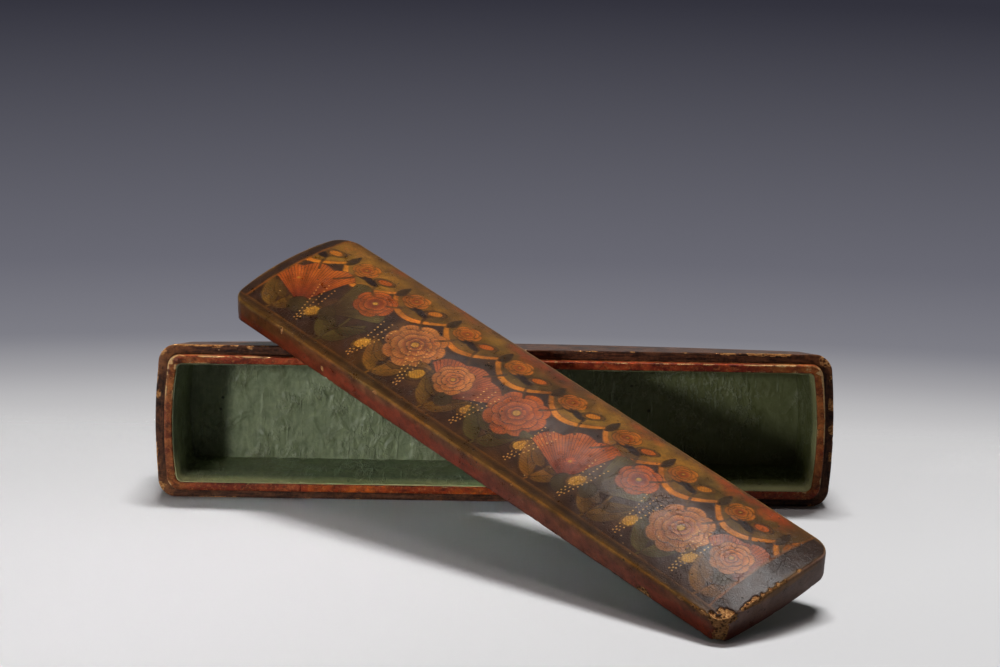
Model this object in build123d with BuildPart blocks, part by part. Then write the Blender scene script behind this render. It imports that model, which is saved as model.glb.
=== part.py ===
from build123d import *
from math import cos, degrees, hypot, radians, sin, sqrt, tan
import os

# A pen box of lacquered pasteboard, open, in millimetres.
# The base lies on one long side with its mouth towards -Y. The lid is off and
# leans on the base: one corner stands on the floor in front, and its rim lies
# on the upper front edge of the base.
# X runs along the base, Z is up. The origin is the middle of the side that the
# base lies on.

# Size of the closed box, shared by the base and the lid
box_length = 250.0
box_width = 57.3
end_bow = 1.8

# Base: a moulded shell with flared walls
base_corner_radius = 6.0
body_depth = 29.0
side_flare = 6.6
end_flare = 8.0
foot_edge_radius = 1.6
shoulder_width = 3.5
bottom_thickness = 3.2
rubbed_flat = 0.05

# Collar: glued strips that stand proud of the shoulder and guide the lid
collar_thickness = 2.8
collar_height = 4.3
collar_seat = 5.0
collar_corner_radius = 5.0
collar_edge_radius = 0.5
collar_seam_from_end = 54.0

# Lid: an arched shell with upright sides, rounder at its back corners
lid_front_corner_radius = 5.0
lid_back_corner_radius = 8.5
skirt_height = 9.4
end_rise = 2.5
crown_rise = 5.4
crown_thickness = 3.0
ridge_radius = 1.2
lid_clearance = 0.3

# Paper lining of the base and of the lid
lining_thickness = 0.4
lining_margin = 0.6
mouth_corner_radius = 2.6

# How the open lid lies
lid_centre_x = 9.1
lid_centre_y = -56.6
lid_turn = -43.5
lid_roll = 14.5
rest_gap = 0.3

# Sizes that follow
side_slope = tan(radians(side_flare))
end_slope = tan(radians(end_flare))
collar_length = box_length - 2 * shoulder_width
collar_width = box_width - 2 * shoulder_width
wall_at_rim = shoulder_width + collar_thickness
mouth_length = box_length - 2 * wall_at_rim
mouth_width = box_width - 2 * wall_at_rim
floor_depth = body_depth - bottom_thickness
lining_end_reach = mouth_length / 2 - (floor_depth + collar_height) * end_slope - mouth_corner_radius - 2
lid_wall = shoulder_width - lid_clearance - lining_thickness
cutter_reach = 200.0

# The base is tipped by its side flare, so that the lower side is level, and that
# side is rubbed flat where it lies
resting_depth = body_depth / cos(radians(side_flare))
tip = radians(side_flare)


def base_point(depth, across):
    """Y and Z of a point that lies this deep behind the shoulder and this far above the middle."""
    height = across + box_width / 2
    y = depth * cos(tip) + height * sin(tip) - resting_depth / 2
    z = height * cos(tip) - depth * sin(tip) - rubbed_flat
    return y, z


rim_y, rim_z = base_point(0, 0)
rim_plane = Plane(origin=(0, rim_y, rim_z), x_dir=(1, 0, 0), z_dir=(0, -cos(tip), sin(tip)))


def plan_outline(length, width, bow, front_corner, back_corner):
    """Rectangle with straight sides, gently bowed ends and round corners; the front is at -Y."""
    x = length / 2
    y = width / 2
    with BuildSketch(mode=Mode.PRIVATE) as outline:
        with BuildLine():
            Line((-x + bow, y), (x - bow, y))
            ThreePointArc((x - bow, y), (x, 0), (x - bow, -y))
            Line((x - bow, -y), (-x + bow, -y))
            ThreePointArc((-x + bow, -y), (-x, 0), (-x + bow, y))
        make_face()
        corners = outline.vertices().sort_by(Axis.Y)
        fillet(corners[:2], front_corner)
        corners = outline.vertices().sort_by(Axis.Y)
        fillet(corners[-2:], back_corner)
    return outline.sketch


def mouth_block(inset, top, bottom):
    """The flared space inside the base between two depths, drawn in by an inset."""
    with BuildPart(mode=Mode.PRIVATE) as block:
        for depth in (top, bottom):
            fall = depth + collar_height
            length = mouth_length - 2 * (fall * end_slope + inset)
            width = mouth_width - 2 * (fall * side_slope + inset)
            with BuildSketch(rim_plane.offset(-depth)):
                corner = mouth_corner_radius - inset
                add(plan_outline(length, width, end_bow, corner, corner))
        loft(ruled=True)
    return block.part


# Base shell: shoulder, walls and bottom in one moulding
mouth_space = mouth_block(0, -collar_height - 1, floor_depth)

with BuildPart() as base_shell:
    with BuildSketch(rim_plane):
        add(plan_outline(box_length, box_width, end_bow, base_corner_radius, base_corner_radius))
    with BuildSketch(rim_plane.offset(-body_depth)):
        foot_length = box_length - 2 * body_depth * end_slope
        foot_width = box_width - 2 * body_depth * side_slope
        add(plan_outline(foot_length, foot_width, end_bow, base_corner_radius, base_corner_radius))
    loft(ruled=True)
    foot = base_shell.faces().sort_by(Axis(rim_plane.origin, rim_plane.z_dir))[0]
    fillet(foot.edges(), foot_edge_radius)
    add(mouth_space, mode=Mode.SUBTRACT)
    with BuildSketch(rim_plane):
        add(plan_outline(collar_length, collar_width, end_bow, collar_corner_radius, collar_corner_radius))
    extrude(amount=-collar_seat, mode=Mode.SUBTRACT)
    split(bisect_by=Plane.XY)

base_shell.part.label = "base_shell"

# Collar ring, before it is cut into its strips
with BuildPart() as collar_ring:
    with BuildSketch(rim_plane.offset(-collar_seat)):
        add(plan_outline(collar_length, collar_width, end_bow, collar_corner_radius, collar_corner_radius))
    extrude(amount=collar_seat + collar_height)
    collar_top = collar_ring.faces().sort_by(Axis(rim_plane.origin, rim_plane.z_dir))[-1]
    fillet(collar_top.edges(), collar_edge_radius)
    add(mouth_space, mode=Mode.SUBTRACT)


def strip_between(whole, x_low, x_high, y_low, y_high, plane):
    """The piece of a ring or cup that lies between four straight cuts square to a plane."""
    with BuildPart(mode=Mode.PRIVATE) as strip:
        add(whole)
        with BuildSketch(plane):
            with Locations(((x_low + x_high) / 2, (y_low + y_high) / 2)):
                Rectangle(x_high - x_low, y_high - y_low)
        extrude(amount=cutter_reach, both=True, mode=Mode.INTERSECT)
    return strip.part


# The long strips run from end to end and the end strips butt between them. The
# lower long strip is pieced from two lengths.
far_x = box_length
far_y = box_width
butt_y = mouth_width / 2 - (collar_seat + collar_height) * side_slope
seam_x = -box_length / 2 + collar_seam_from_end
collar_cuts = {
    "collar_upper_strip": (-far_x, far_x, butt_y, far_y),
    "collar_lower_left_strip": (-far_x, seam_x, -far_y, -butt_y),
    "collar_lower_right_strip": (seam_x, far_x, -far_y, -butt_y),
    "collar_left_strip": (-far_x, 0, -butt_y, butt_y),
    "collar_right_strip": (0, far_x, -butt_y, butt_y),
}

# Lining of the base: a sheet on the floor, two long sheets and two end sheets
# that wrap round the corners
with BuildPart() as base_floor_lining:
    add(mouth_block(0, floor_depth - lining_thickness, floor_depth))

base_floor_lining.part.label = "base_floor_lining"

with BuildPart() as base_wall_lining:
    add(mouth_block(0, -collar_height + lining_margin, floor_depth - lining_thickness))
    add(mouth_block(lining_thickness, -collar_height, floor_depth), mode=Mode.SUBTRACT)

base_lining_cuts = {
    "base_upper_side_lining": (-lining_end_reach, lining_end_reach, 0, far_y),
    "base_lower_side_lining": (-lining_end_reach, lining_end_reach, -far_y, 0),
    "base_left_end_lining": (-far_x, -lining_end_reach, -far_y, far_y),
    "base_right_end_lining": (lining_end_reach, far_x, -far_y, far_y),
}


# The open lid. Its corner stands on the floor and its pitch is the one at
# which its rim clears the upper front edge of the base by the resting gap.
def lid_axes(pitch):
    """Directions along the lid, across it and out of its crown."""
    turn = radians(lid_turn)
    roll = radians(lid_roll)
    along = Vector(cos(turn) * cos(pitch), sin(turn) * cos(pitch), -sin(pitch))
    level = Vector(-sin(turn), cos(turn), 0)
    across = level * cos(roll) + along.cross(level) * sin(roll)
    return along, across, along.cross(across)


def lid_centre(pitch):
    """Middle of the rim when the lowest point of the round front corner is on the floor."""
    along, across, _ = lid_axes(pitch)
    bow_radius = ((box_width / 2) ** 2 + end_bow**2) / (2 * end_bow)
    corner_y = -box_width / 2 + lid_front_corner_radius
    corner_x = box_length / 2 - bow_radius + sqrt((bow_radius - lid_front_corner_radius) ** 2 - corner_y**2)
    fall = corner_x * along.Z + corner_y * across.Z - lid_front_corner_radius * hypot(along.Z, across.Z)
    return Vector(lid_centre_x, lid_centre_y, -fall)


def height_over_rim(pitch):
    """How far the highest edge of the base reaches above the plane of the lid's rim."""
    _, across, up = lid_axes(pitch)
    centre = lid_centre(pitch)
    heights = []
    for depth, level in ((0, box_width / 2), (-collar_height, box_width / 2 - shoulder_width)):
        y, z = base_point(depth, level)
        edge = Vector(centre.X, y, z)
        crossing = (box_width / 2 - (edge - centre).dot(across)) / across.X
        heights.append((edge + Vector(crossing, 0, 0) - centre).dot(up))
    return max(heights)


flat_pitch = 0.0
steep_pitch = radians(60)
for _ in range(60):
    lid_pitch = (flat_pitch + steep_pitch) / 2
    if height_over_rim(lid_pitch) > -rest_gap:
        flat_pitch = lid_pitch
    else:
        steep_pitch = lid_pitch

lid_along, lid_across, lid_up = lid_axes(lid_pitch)
lid_origin = lid_centre(lid_pitch)
lid_plane = Plane(origin=lid_origin, x_dir=lid_along, z_dir=lid_up)


def crown_block(drop):
    """Everything below the arched crown, lowered by a drop: a loft through arched sections."""
    half = box_width / 2 + 2
    with BuildPart(mode=Mode.PRIVATE) as block:
        for share in (-1.02, -0.6, 0, 0.6, 1.02):
            rise = end_rise + (crown_rise - end_rise) * max(0, 1 - share**4)
            radius = ((box_width / 2) ** 2 + rise**2) / (2 * rise)
            crest = skirt_height + rise - drop
            edge = crest - radius + sqrt(radius**2 - half**2)
            station = Plane(origin=lid_origin + lid_along * (share * box_length / 2), x_dir=lid_across, z_dir=lid_along)
            with BuildSketch(station):
                with BuildLine():
                    Polyline((half, edge), (half, -5), (-half, -5), (-half, edge))
                    ThreePointArc((-half, edge), (0, crest), (half, edge))
                make_face()
        loft()
    return block.part


def lid_block(inset, drop):
    """The lid's solid outline drawn in by an inset, under a crown lowered by a drop."""
    with BuildPart(mode=Mode.PRIVATE) as block:
        with BuildSketch(lid_plane):
            front_corner = lid_front_corner_radius - inset
            back_corner = lid_back_corner_radius - inset
            add(plan_outline(box_length - 2 * inset, box_width - 2 * inset, end_bow, front_corner, back_corner))
        extrude(amount=skirt_height + crown_rise + 5)
        add(crown_block(drop), mode=Mode.INTERSECT)
    return block.part


lid_solid = lid_block(0, 0)
hollow = lid_block(lid_wall, crown_thickness)
lined_hollow = lid_block(lid_wall, crown_thickness + lining_thickness)
lining_hollow = lid_block(lid_wall + lining_thickness, 0)

with BuildPart() as lid_shell:
    add(lid_solid)
    crown = lid_shell.faces().sort_by(Axis(lid_plane.origin, lid_plane.z_dir))[-1]
    fillet(crown.edges(), ridge_radius)
    add(hollow, mode=Mode.SUBTRACT)

lid_shell.part.label = "lid_shell"

# Lining of the lid: one sheet under the crown and four round the sides
with BuildPart() as lid_crown_lining:
    add(hollow)
    add(lined_hollow, mode=Mode.SUBTRACT)

lid_crown_lining.part.label = "lid_crown_lining"

with BuildPart() as lid_wall_lining:
    add(lined_hollow)
    add(lining_hollow, mode=Mode.SUBTRACT)
    with BuildSketch(lid_plane.offset(lining_margin)):
        Rectangle(2 * far_x, 2 * far_y)
    extrude(amount=cutter_reach, mode=Mode.INTERSECT)

lid_end_reach = box_length / 2 - lid_back_corner_radius - end_bow - 2
lid_lining_cuts = {
    "lid_back_side_lining": (-lid_end_reach, lid_end_reach, 0, far_y),
    "lid_front_side_lining": (-lid_end_reach, lid_end_reach, -far_y, 0),
    "lid_left_end_lining": (-far_x, -lid_end_reach, -far_y, far_y),
    "lid_right_end_lining": (lid_end_reach, far_x, -far_y, far_y),
}

# Write every piece
os.makedirs("parts", exist_ok=True)
export_step(base_shell.part, "parts/base_shell.step")
export_step(base_floor_lining.part, "parts/base_floor_lining.step")
export_step(lid_shell.part, "parts/lid_shell.step")
export_step(lid_crown_lining.part, "parts/lid_crown_lining.step")

for whole, plane, cuts in (
    (collar_ring.part, rim_plane, collar_cuts),
    (base_wall_lining.part, rim_plane, base_lining_cuts),
    (lid_wall_lining.part, lid_plane, lid_lining_cuts),
):
    for name, bounds in cuts.items():
        with BuildPart() as strip:
            add(strip_between(whole, *bounds, plane))
        strip.part.label = name
        export_step(strip.part, f"parts/{name}.step")

print("lid pitch", round(degrees(lid_pitch), 2), "lid rim centre", lid_origin)
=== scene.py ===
from math import cos, pi, radians, sin, tan

import bpy
import numpy as np
from mathutils import Matrix, Vector


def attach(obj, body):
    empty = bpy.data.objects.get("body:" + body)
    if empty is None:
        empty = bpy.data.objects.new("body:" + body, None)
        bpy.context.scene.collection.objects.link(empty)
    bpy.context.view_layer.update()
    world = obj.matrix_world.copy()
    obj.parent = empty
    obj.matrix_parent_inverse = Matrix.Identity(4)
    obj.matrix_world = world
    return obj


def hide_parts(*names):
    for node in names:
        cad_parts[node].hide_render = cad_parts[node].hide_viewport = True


# A lacquered pen box lying open on its long side, with its painted lid leaning
# across it. Sizes are in millimetres and become metres when a mesh is made.
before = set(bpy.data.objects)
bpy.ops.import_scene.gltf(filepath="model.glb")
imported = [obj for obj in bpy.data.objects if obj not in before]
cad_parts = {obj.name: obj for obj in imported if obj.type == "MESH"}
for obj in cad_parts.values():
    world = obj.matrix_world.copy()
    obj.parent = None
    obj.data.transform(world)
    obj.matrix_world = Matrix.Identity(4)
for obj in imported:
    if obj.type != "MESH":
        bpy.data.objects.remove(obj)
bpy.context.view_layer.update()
MM = 0.001

# Sizes of the box
BOX_LENGTH = 250.0
BOX_WIDTH = 57.3
END_BOW = 1.8
BASE_CORNER = 6.0
BODY_DEPTH = 29.0
SIDE_FLARE = radians(6.6)
SIDE_SLOPE = tan(SIDE_FLARE)
END_SLOPE = tan(radians(8.0))
FOOT_ROUND = 1.6
SHOULDER = 3.5
BOTTOM = 3.2
COLLAR_THICKNESS = 2.8
COLLAR_HEIGHT = 4.3
COLLAR_SEAT = 5.0
COLLAR_FRONT_CORNER = 4.4
COLLAR_BACK_CORNER = 3.6
COLLAR_SEAM_X = -BOX_LENGTH / 2 + 54.0
MOUTH_FRONT_CORNER = 2.2
MOUTH_BACK_CORNER = 1.6
LINING = 0.4
LINING_MARGIN = 0.6
SHARPEST_CORNER = 0.05
LID_FRONT_CORNER = 5.0
LID_BACK_CORNER = 8.5
LID_WALL = 2.8
SKIRT = 9.4
END_RISE = 2.5
CROWN_RISE = 5.4
CROWN_THICKNESS = 3.0
RIDGE_ROUND = 1.2
RIM_ROUND = 0.35

# How far a hidden face stands back from the piece that covers it
CLEAR = 0.05

# Where the base lies: tipped by its flare, with the lower side on the floor
REST_REACH = BODY_DEPTH / cos(SIDE_FLARE) / 2
RUBBED_FLAT = 0.05

# Where the lid leans
LID_TURN = radians(-43.5)
LID_ROLL = radians(14.5)
LID_PITCH = radians(15.16165)
LID_CENTRE = np.array([9.1, -56.6, 38.5535])


# Frames of the two halves
def base_place(x, y, height):
    """Turns places in the base (along, across, above the shoulder) into the row frame."""
    lift = y + BOX_WIDTH / 2
    row_y = lift * sin(SIDE_FLARE) - height * cos(SIDE_FLARE) - REST_REACH
    row_z = lift * cos(SIDE_FLARE) + height * sin(SIDE_FLARE) - RUBBED_FLAT
    return np.stack(np.broadcast_arrays(x, row_y, row_z), -1)


def lid_directions():
    """Directions along the lid, across it and out of its crown, from its turn, pitch and roll."""
    along = Vector((cos(LID_TURN) * cos(LID_PITCH), sin(LID_TURN) * cos(LID_PITCH), -sin(LID_PITCH)))
    level = Vector((-sin(LID_TURN), cos(LID_TURN), 0))
    across = level * cos(LID_ROLL) + along.cross(level) * sin(LID_ROLL)
    return np.array(along), np.array(across), np.array(along.cross(across))


LID_ALONG, LID_ACROSS, LID_UP = lid_directions()


def lid_place(x, y, height):
    """Turns places in the lid (along, across, above the rim) into the row frame."""
    x, y, height = (np.asarray(part)[..., None] for part in np.broadcast_arrays(x, y, height))
    return LID_CENTRE + x * LID_ALONG + y * LID_ACROSS + height * LID_UP


# Numbers that vary smoothly
def smooth(low, high, value):
    """0 at low, 1 at high, and a smooth step between."""
    share = np.clip((value - low) / (high - low), 0, 1)
    return share * share * (3 - 2 * share)


def blend(first, second, share):
    return first + (second - first) * share


def lattice_values(i, j, k, seed):
    """A fixed random number from 0 to 1 for every lattice point, by mixing its whole numbers."""
    mixed = (i * 374761393 + j * 668265263 + k * 1274126177 + seed * 974634777) & 0xFFFFFFFF
    mixed = ((mixed ^ (mixed >> 13)) * 1103515245) & 0xFFFFFFFF
    mixed = ((mixed ^ (mixed >> 16)) * 2246822519) & 0xFFFFFFFF
    return (mixed ^ (mixed >> 15)) / 0xFFFFFFFF


def lumps(points, size, seed, octaves=3):
    """Smooth lumps from about -1 to 1: random values blended between lattice points, in halving sizes."""
    total = 0.0
    weight = 1.0
    for octave in range(octaves):
        scaled = points / np.asarray(size) * 2**octave + 100.0
        corner = np.floor(scaled).astype(np.int64)
        share = scaled - corner
        share = share * share * (3 - 2 * share)
        value = 0.0
        for step in np.ndindex(2, 2, 2):
            part = np.prod(np.where(np.array(step) == 1, share, 1 - share), -1)
            i, j, k = np.moveaxis(corner + np.array(step), -1, 0)
            value = value + part * lattice_values(i, j, k, seed + octave)
        total = total + weight * (2 * value - 1)
        weight /= 2
    return total


# Plan shapes
def plan_points(a, b, length, width, front, back):
    """Maps the square -1..1 onto a rectangle with round corners and bowed ends.

    Inside each corner square, x is p * sqrt(1 - q^2 / 2) and y is q * sqrt(1 - p^2 / 2), which turns
    the corner of the square into a quarter circle. The ends then swell by the bow, as a parabola.
    """
    half_x = length / 2 - END_BOW
    half_y = width / 2
    x = a * half_x
    y = b * half_y
    corner = np.maximum(np.where(b < 0, front, back), SHARPEST_CORNER)
    p = np.clip((np.abs(x) - half_x + corner) / corner, 0, 1)
    q = np.clip((np.abs(y) - half_y + corner) / corner, 0, 1)
    x = np.where(p * q > 0, np.sign(x) * (half_x - corner * (1 - p * np.sqrt(1 - q * q / 2))), x)
    y = np.where(p * q > 0, np.sign(y) * (half_y - corner * (1 - q * np.sqrt(1 - p * p / 2))), y)
    x = x + np.sign(x) * END_BOW * (1 - (y / half_y) ** 2) * (np.abs(x) / half_x) ** 6
    return x, y


def border_loop(columns, rows):
    """The border of a grid as one closed loop, from the front left corner along the front."""
    back_i = np.arange(columns, 0, -1)
    back_j = np.arange(rows, 0, -1)
    i = np.concatenate([np.arange(columns), np.full(rows, columns), back_i, np.zeros(rows, int)])
    j = np.concatenate([np.zeros(columns, int), np.arange(rows), np.full(columns, rows), back_j])
    return 2 * i / columns - 1, 2 * j / rows - 1, i, j


# Meshes
def grid_faces(columns, rows):
    """Quads of a grid of points, facing up where the columns run along x and the rows along y."""
    i, j = np.meshgrid(np.arange(columns), np.arange(rows), indexing="ij")
    first = (i * (rows + 1) + j).ravel()
    return np.stack([first, first + rows + 1, first + rows + 2, first + 1], -1)


def ring_faces(upper, lower):
    """Quads between two closed rings of points, given as lists of point numbers."""
    return np.stack([upper, lower, np.roll(lower, -1), np.roll(upper, -1)], -1)


def stacked_faces(rows, first, last):
    """Quads that join rows of points: the border of the first row, the closed rings, and a last line."""
    starts = np.cumsum([0] + [len(row) for row in rows[:-1]])
    rings = [np.arange(len(row)) + start for row, start in zip(rows[1:-1], starts[1:-1])]
    rings = [first, *rings, last + starts[-1]]
    return [ring_faces(upper, lower) for upper, lower in zip(rings[:-1], rings[1:])]


# The kinds of value that a mesh keeps at its points, by how many numbers a value has
LAYER_KINDS = {1: ("FLOAT", "value"), 3: ("FLOAT_VECTOR", "vector"), 4: ("FLOAT_COLOR", "color")}


def opaque(colours):
    return np.concatenate([colours, np.ones((len(colours), 1))], -1)


def new_mesh(name, points, faces, **layers):
    """A mesh from points in millimetres and quads; a quad that names a point twice becomes a triangle.

    Each further name is a layer of values at the points, such as their place before they were worn.
    """
    keep = faces != np.roll(faces, -1, 1)
    sizes = keep.sum(1)
    keep[sizes < 3] = False
    sizes = sizes[sizes > 2]
    corners = faces[keep].astype(np.int32)
    mesh = bpy.data.meshes.new(name)
    mesh.vertices.add(len(points))
    mesh.vertices.foreach_set("co", (points * MM).astype(np.float32).ravel())
    mesh.loops.add(len(corners))
    mesh.loops.foreach_set("vertex_index", corners)
    mesh.polygons.add(len(sizes))
    mesh.polygons.foreach_set("loop_start", np.concatenate([[0], np.cumsum(sizes)[:-1]]).astype(np.int32))
    mesh.update(calc_edges=True)
    mesh.polygons.foreach_set("use_smooth", np.ones(len(sizes), bool))
    for key, values in layers.items():
        kind, field = LAYER_KINDS[values.size // len(points)]
        layer = mesh.attributes.new(key, kind, "POINT")
        layer.data.foreach_set(field, values.astype(np.float32).ravel())
    return mesh


def add_piece(mesh, material, body, slot, *nodes):
    """Shows a mesh as a piece that rides on a body and stands for CAD nodes."""
    piece = bpy.data.objects.new(mesh.name, mesh)
    bpy.context.scene.collection.objects.link(piece)
    mesh.materials.append(material)
    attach(piece, body)
    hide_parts(*nodes)


# Colours, from 0 to 255 as a colour chart gives them
def tint(red, green, blue):
    """The linear colour that Blender works with."""
    share = np.array([red, green, blue]) / 255
    return np.where(share <= 0.04045, share / 12.92, ((share + 0.055) / 1.055) ** 2.4)


DARK_GROUND = tint(66, 44, 38)
OLIVE_GROUND = tint(160, 122, 48)
GOLD = tint(220, 144, 44)
ORANGE = tint(214, 116, 34)
BRICK = tint(146, 62, 24)
ROSE = tint(190, 104, 58)
PLUM = tint(118, 62, 48)
BLUSH = tint(220, 150, 84)
STRAW = tint(206, 162, 60)
OCHRE = tint(140, 104, 38)
SAGE = tint(120, 96, 42)
GREY_GREEN = tint(92, 90, 54)
MOSS = tint(70, 58, 32)
SOOT = tint(24, 18, 17)
RUST = tint(160, 76, 28)
FOLIAGE = (SAGE, GREY_GREEN, OCHRE)


# The painting on the crown: flowering plants under a gold cusped band
class Painting:
    """Layers of paint over the points of the crown, put on one after another.

    It keeps for each point its colour, its distance from the nearest ink line and from the nearest
    cream dot, and the count of brush lines passed, so that the material can draw crisp lines.
    """

    def __init__(self, x, y):
        self.x = x
        self.y = y
        self.colour = np.zeros(x.shape + (3,))
        self.ink = np.full(x.shape, 4.0)
        self.dots = np.full(x.shape, 4.0)
        self.strokes = np.zeros(x.shape)
        self.stroke_amount = np.zeros(x.shape)

    def near(self, x, y, reach):
        return np.nonzero((np.abs(self.x - x) < reach) & (np.abs(self.y - y) < reach))[0]

    def layer(self, at, distance, colour, strokes=None, amount=0.0, lined=True):
        """Paints where a distance is below nought, softly over a third of a millimetre, and inks its edge."""
        share = smooth(0.18, -0.18, distance)
        self.colour[at] = blend(self.colour[at], colour, share[:, None])
        inside = distance < 0
        edge = np.abs(distance) if lined else np.full(len(at), 4.0)
        self.ink[at] = np.where(inside, edge, np.minimum(self.ink[at], edge))
        self.dots[at] = np.where(inside, 4.0, self.dots[at])
        self.stroke_amount[at] = np.where(inside, amount, self.stroke_amount[at])
        if strokes is not None:
            self.strokes[at] = np.where(inside, strokes, self.strokes[at])

    def line(self, at, distance):
        self.ink[at] = np.minimum(self.ink[at], distance)

    def dot_row(self, xs, ys):
        for x, y in zip(xs, ys):
            at = self.near(x, y, 1.6)
            self.dots[at] = np.minimum(self.dots[at], np.hypot(self.x[at] - x, self.y[at] - y))


def stem(painting, start, bend, end, width, colour):
    """A curved stroke: a quadratic curve through a bend, drawn as short straight runs."""
    share = np.linspace(0, 1, 18)[:, None]
    start, bend, end = (np.array(point, float) for point in (start, bend, end))
    curve = (1 - share) ** 2 * start + 2 * share * (1 - share) * bend + share**2 * end
    middle = (curve.min(0) + curve.max(0)) / 2
    at = painting.near(*middle, np.ptp(curve, 0).max() / 2 + 2)
    spot = np.stack([painting.x[at], painting.y[at]], -1)
    distance = np.full(len(at), 9.0)
    for first, second in zip(curve[:-1], curve[1:]):
        run = second - first
        along = np.clip((spot - first) @ run / (run @ run), 0, 1)
        distance = np.minimum(distance, np.hypot(*(spot - first - along[:, None] * run).T))
    painting.layer(at, distance - width / 2, colour)


def local_axes(painting, at, x, y, turn):
    dx = painting.x[at] - x
    dy = painting.y[at] - y
    return dx * cos(turn) + dy * sin(turn), dy * cos(turn) - dx * sin(turn)


def leaf(painting, x, y, length, width, turn, curl, colour):
    """A pointed leaf: its half width is a sine of the share along it, about a curled midrib."""
    at = painting.near(x + cos(turn) * length / 2, y + sin(turn) * length / 2, length * 0.75)
    s, t = local_axes(painting, at, x, y, turn)
    share = np.clip(s / length, 0, 1)
    t = t - curl * length * share**2
    half = width / 2 * np.sin(pi * share**0.8) ** 0.8
    distance = np.maximum(np.abs(t) - half, np.maximum(-s, s - length))
    shade = blend(colour * 0.62, colour * 1.12, smooth(-half - 0.1, half + 0.1, t)[:, None])
    veins = s / 1.5 - np.abs(t) / 1.1
    painting.layer(at, distance, shade, veins, 0.55)
    painting.line(at, np.where(distance < 0, np.abs(t) + 0.08, 4.0))


def blossom(painting, x, y, radius, tip, heart, turn, petals=7, rings=4):
    """A round layered blossom: each ring of petals is a circle whose edge dips between the petals."""
    at = painting.near(x, y, radius + 1.5)
    dx, dy = painting.x[at] - x, painting.y[at] - y
    reach = np.hypot(dx, dy)
    angle = np.arctan2(dy, dx)
    light = 0.66 + 0.46 * smooth(-radius, radius, 0.5 * dx + 0.85 * dy)
    for ring in range(rings):
        size = radius * (1 - 0.235 * ring)
        count = petals - ring
        wave = np.abs(np.cos(count * (angle - turn - 0.7 * ring) / 2))
        edge = size * (0.84 + 0.16 * wave**0.55)
        share = smooth(0.5, 1.0, reach / edge)
        shade = blend(heart, tip, share[:, None]) * (light * (0.8 + 0.2 * wave + 0.05 * ring))[:, None]
        painting.layer(at, reach - edge, shade, angle * (7 * count) / (2 * pi), 0.42)
        gap = reach * 2 / count * np.arcsin(wave)
        painting.line(at, np.where((reach > size * 0.66) & (reach < edge), gap + 0.1, 4.0))
    painting.layer(at, reach - radius * 0.13, STRAW)


def fan_flower(painting, x, y, length, spread, turn, foot, tip, lines):
    """A fan of pleated petals: a sector with a scalloped far edge, coloured from foot to tip."""
    at = painting.near(x + cos(turn) * length / 2, y + sin(turn) * length / 2, length * 0.85)
    s, t = local_axes(painting, at, x, y, turn)
    reach = np.hypot(s, t)
    angle = np.arctan2(t, s)
    edge = length * (0.9 + 0.1 * np.abs(np.cos(angle / spread * 4.5)))
    distance = np.maximum(reach - edge, (np.abs(angle) - spread) * reach)
    share = np.clip(reach / edge, 0, 1)
    pleats = 0.86 + 0.14 * np.cos(angle / spread * 9 * pi / 2)
    shade = blend(foot, tip, smooth(0.1, 0.95, share)[:, None]) * pleats[:, None]
    painting.layer(at, distance, shade, angle / spread * lines, 0.8)
    painting.layer(at, reach - length * 0.16, MOSS)


def oval(painting, x, y, length, width, turn, colour, rim):
    """An oval fruit or bud with an inner line that follows its edge."""
    at = painting.near(x, y, length)
    s, t = local_axes(painting, at, x, y, turn)
    scaled = np.hypot(s / (length / 2), t / (width / 2))
    distance = (scaled - 1) * width / 2
    painting.layer(at, distance, rim)
    painting.layer(at, distance + 0.8, colour, s / 0.9, 0.4)


def rosette(painting, x, y, size, colour, turn):
    """A small eight-petalled star."""
    at = painting.near(x, y, size * 1.6)
    dx, dy = painting.x[at] - x, painting.y[at] - y
    edge = size * (0.68 + 0.32 * np.cos(8 * (np.arctan2(dy, dx) - turn)))
    painting.layer(at, np.hypot(dx, dy) - edge, colour, lined=False)
    painting.layer(at, np.hypot(dx, dy) - size * 0.28, STRAW, lined=False)


def spray(painting, x, y, length, turn, rows, bow):
    """A fan of curved rows of cream dots."""
    for row in range(rows):
        slant = turn + (row - (rows - 1) / 2) * 0.15
        share = np.arange(5.0 + row % 2, length, 1.7)
        side = bow * (share / length) ** 2 * length
        xs = x + cos(slant) * share - sin(slant) * side
        ys = y + sin(slant) * share + cos(slant) * side
        painting.dot_row(xs, ys)


PLANT_STEP = 27.0
PLANTS = np.arange(-107.0, 110.0, PLANT_STEP)
BAND_WIDTH = 2.8
LEFT_PLAIN = -119.5
RIGHT_PLAIN = 114.5
FRONT_PLAIN = -25.2


def band_line(x):
    """Height of the cusped gold band: arches that meet in points."""
    return 14.5 - 9.5 * np.abs(np.sin(pi * (x - 1.0) / PLANT_STEP)) ** 0.8


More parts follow.
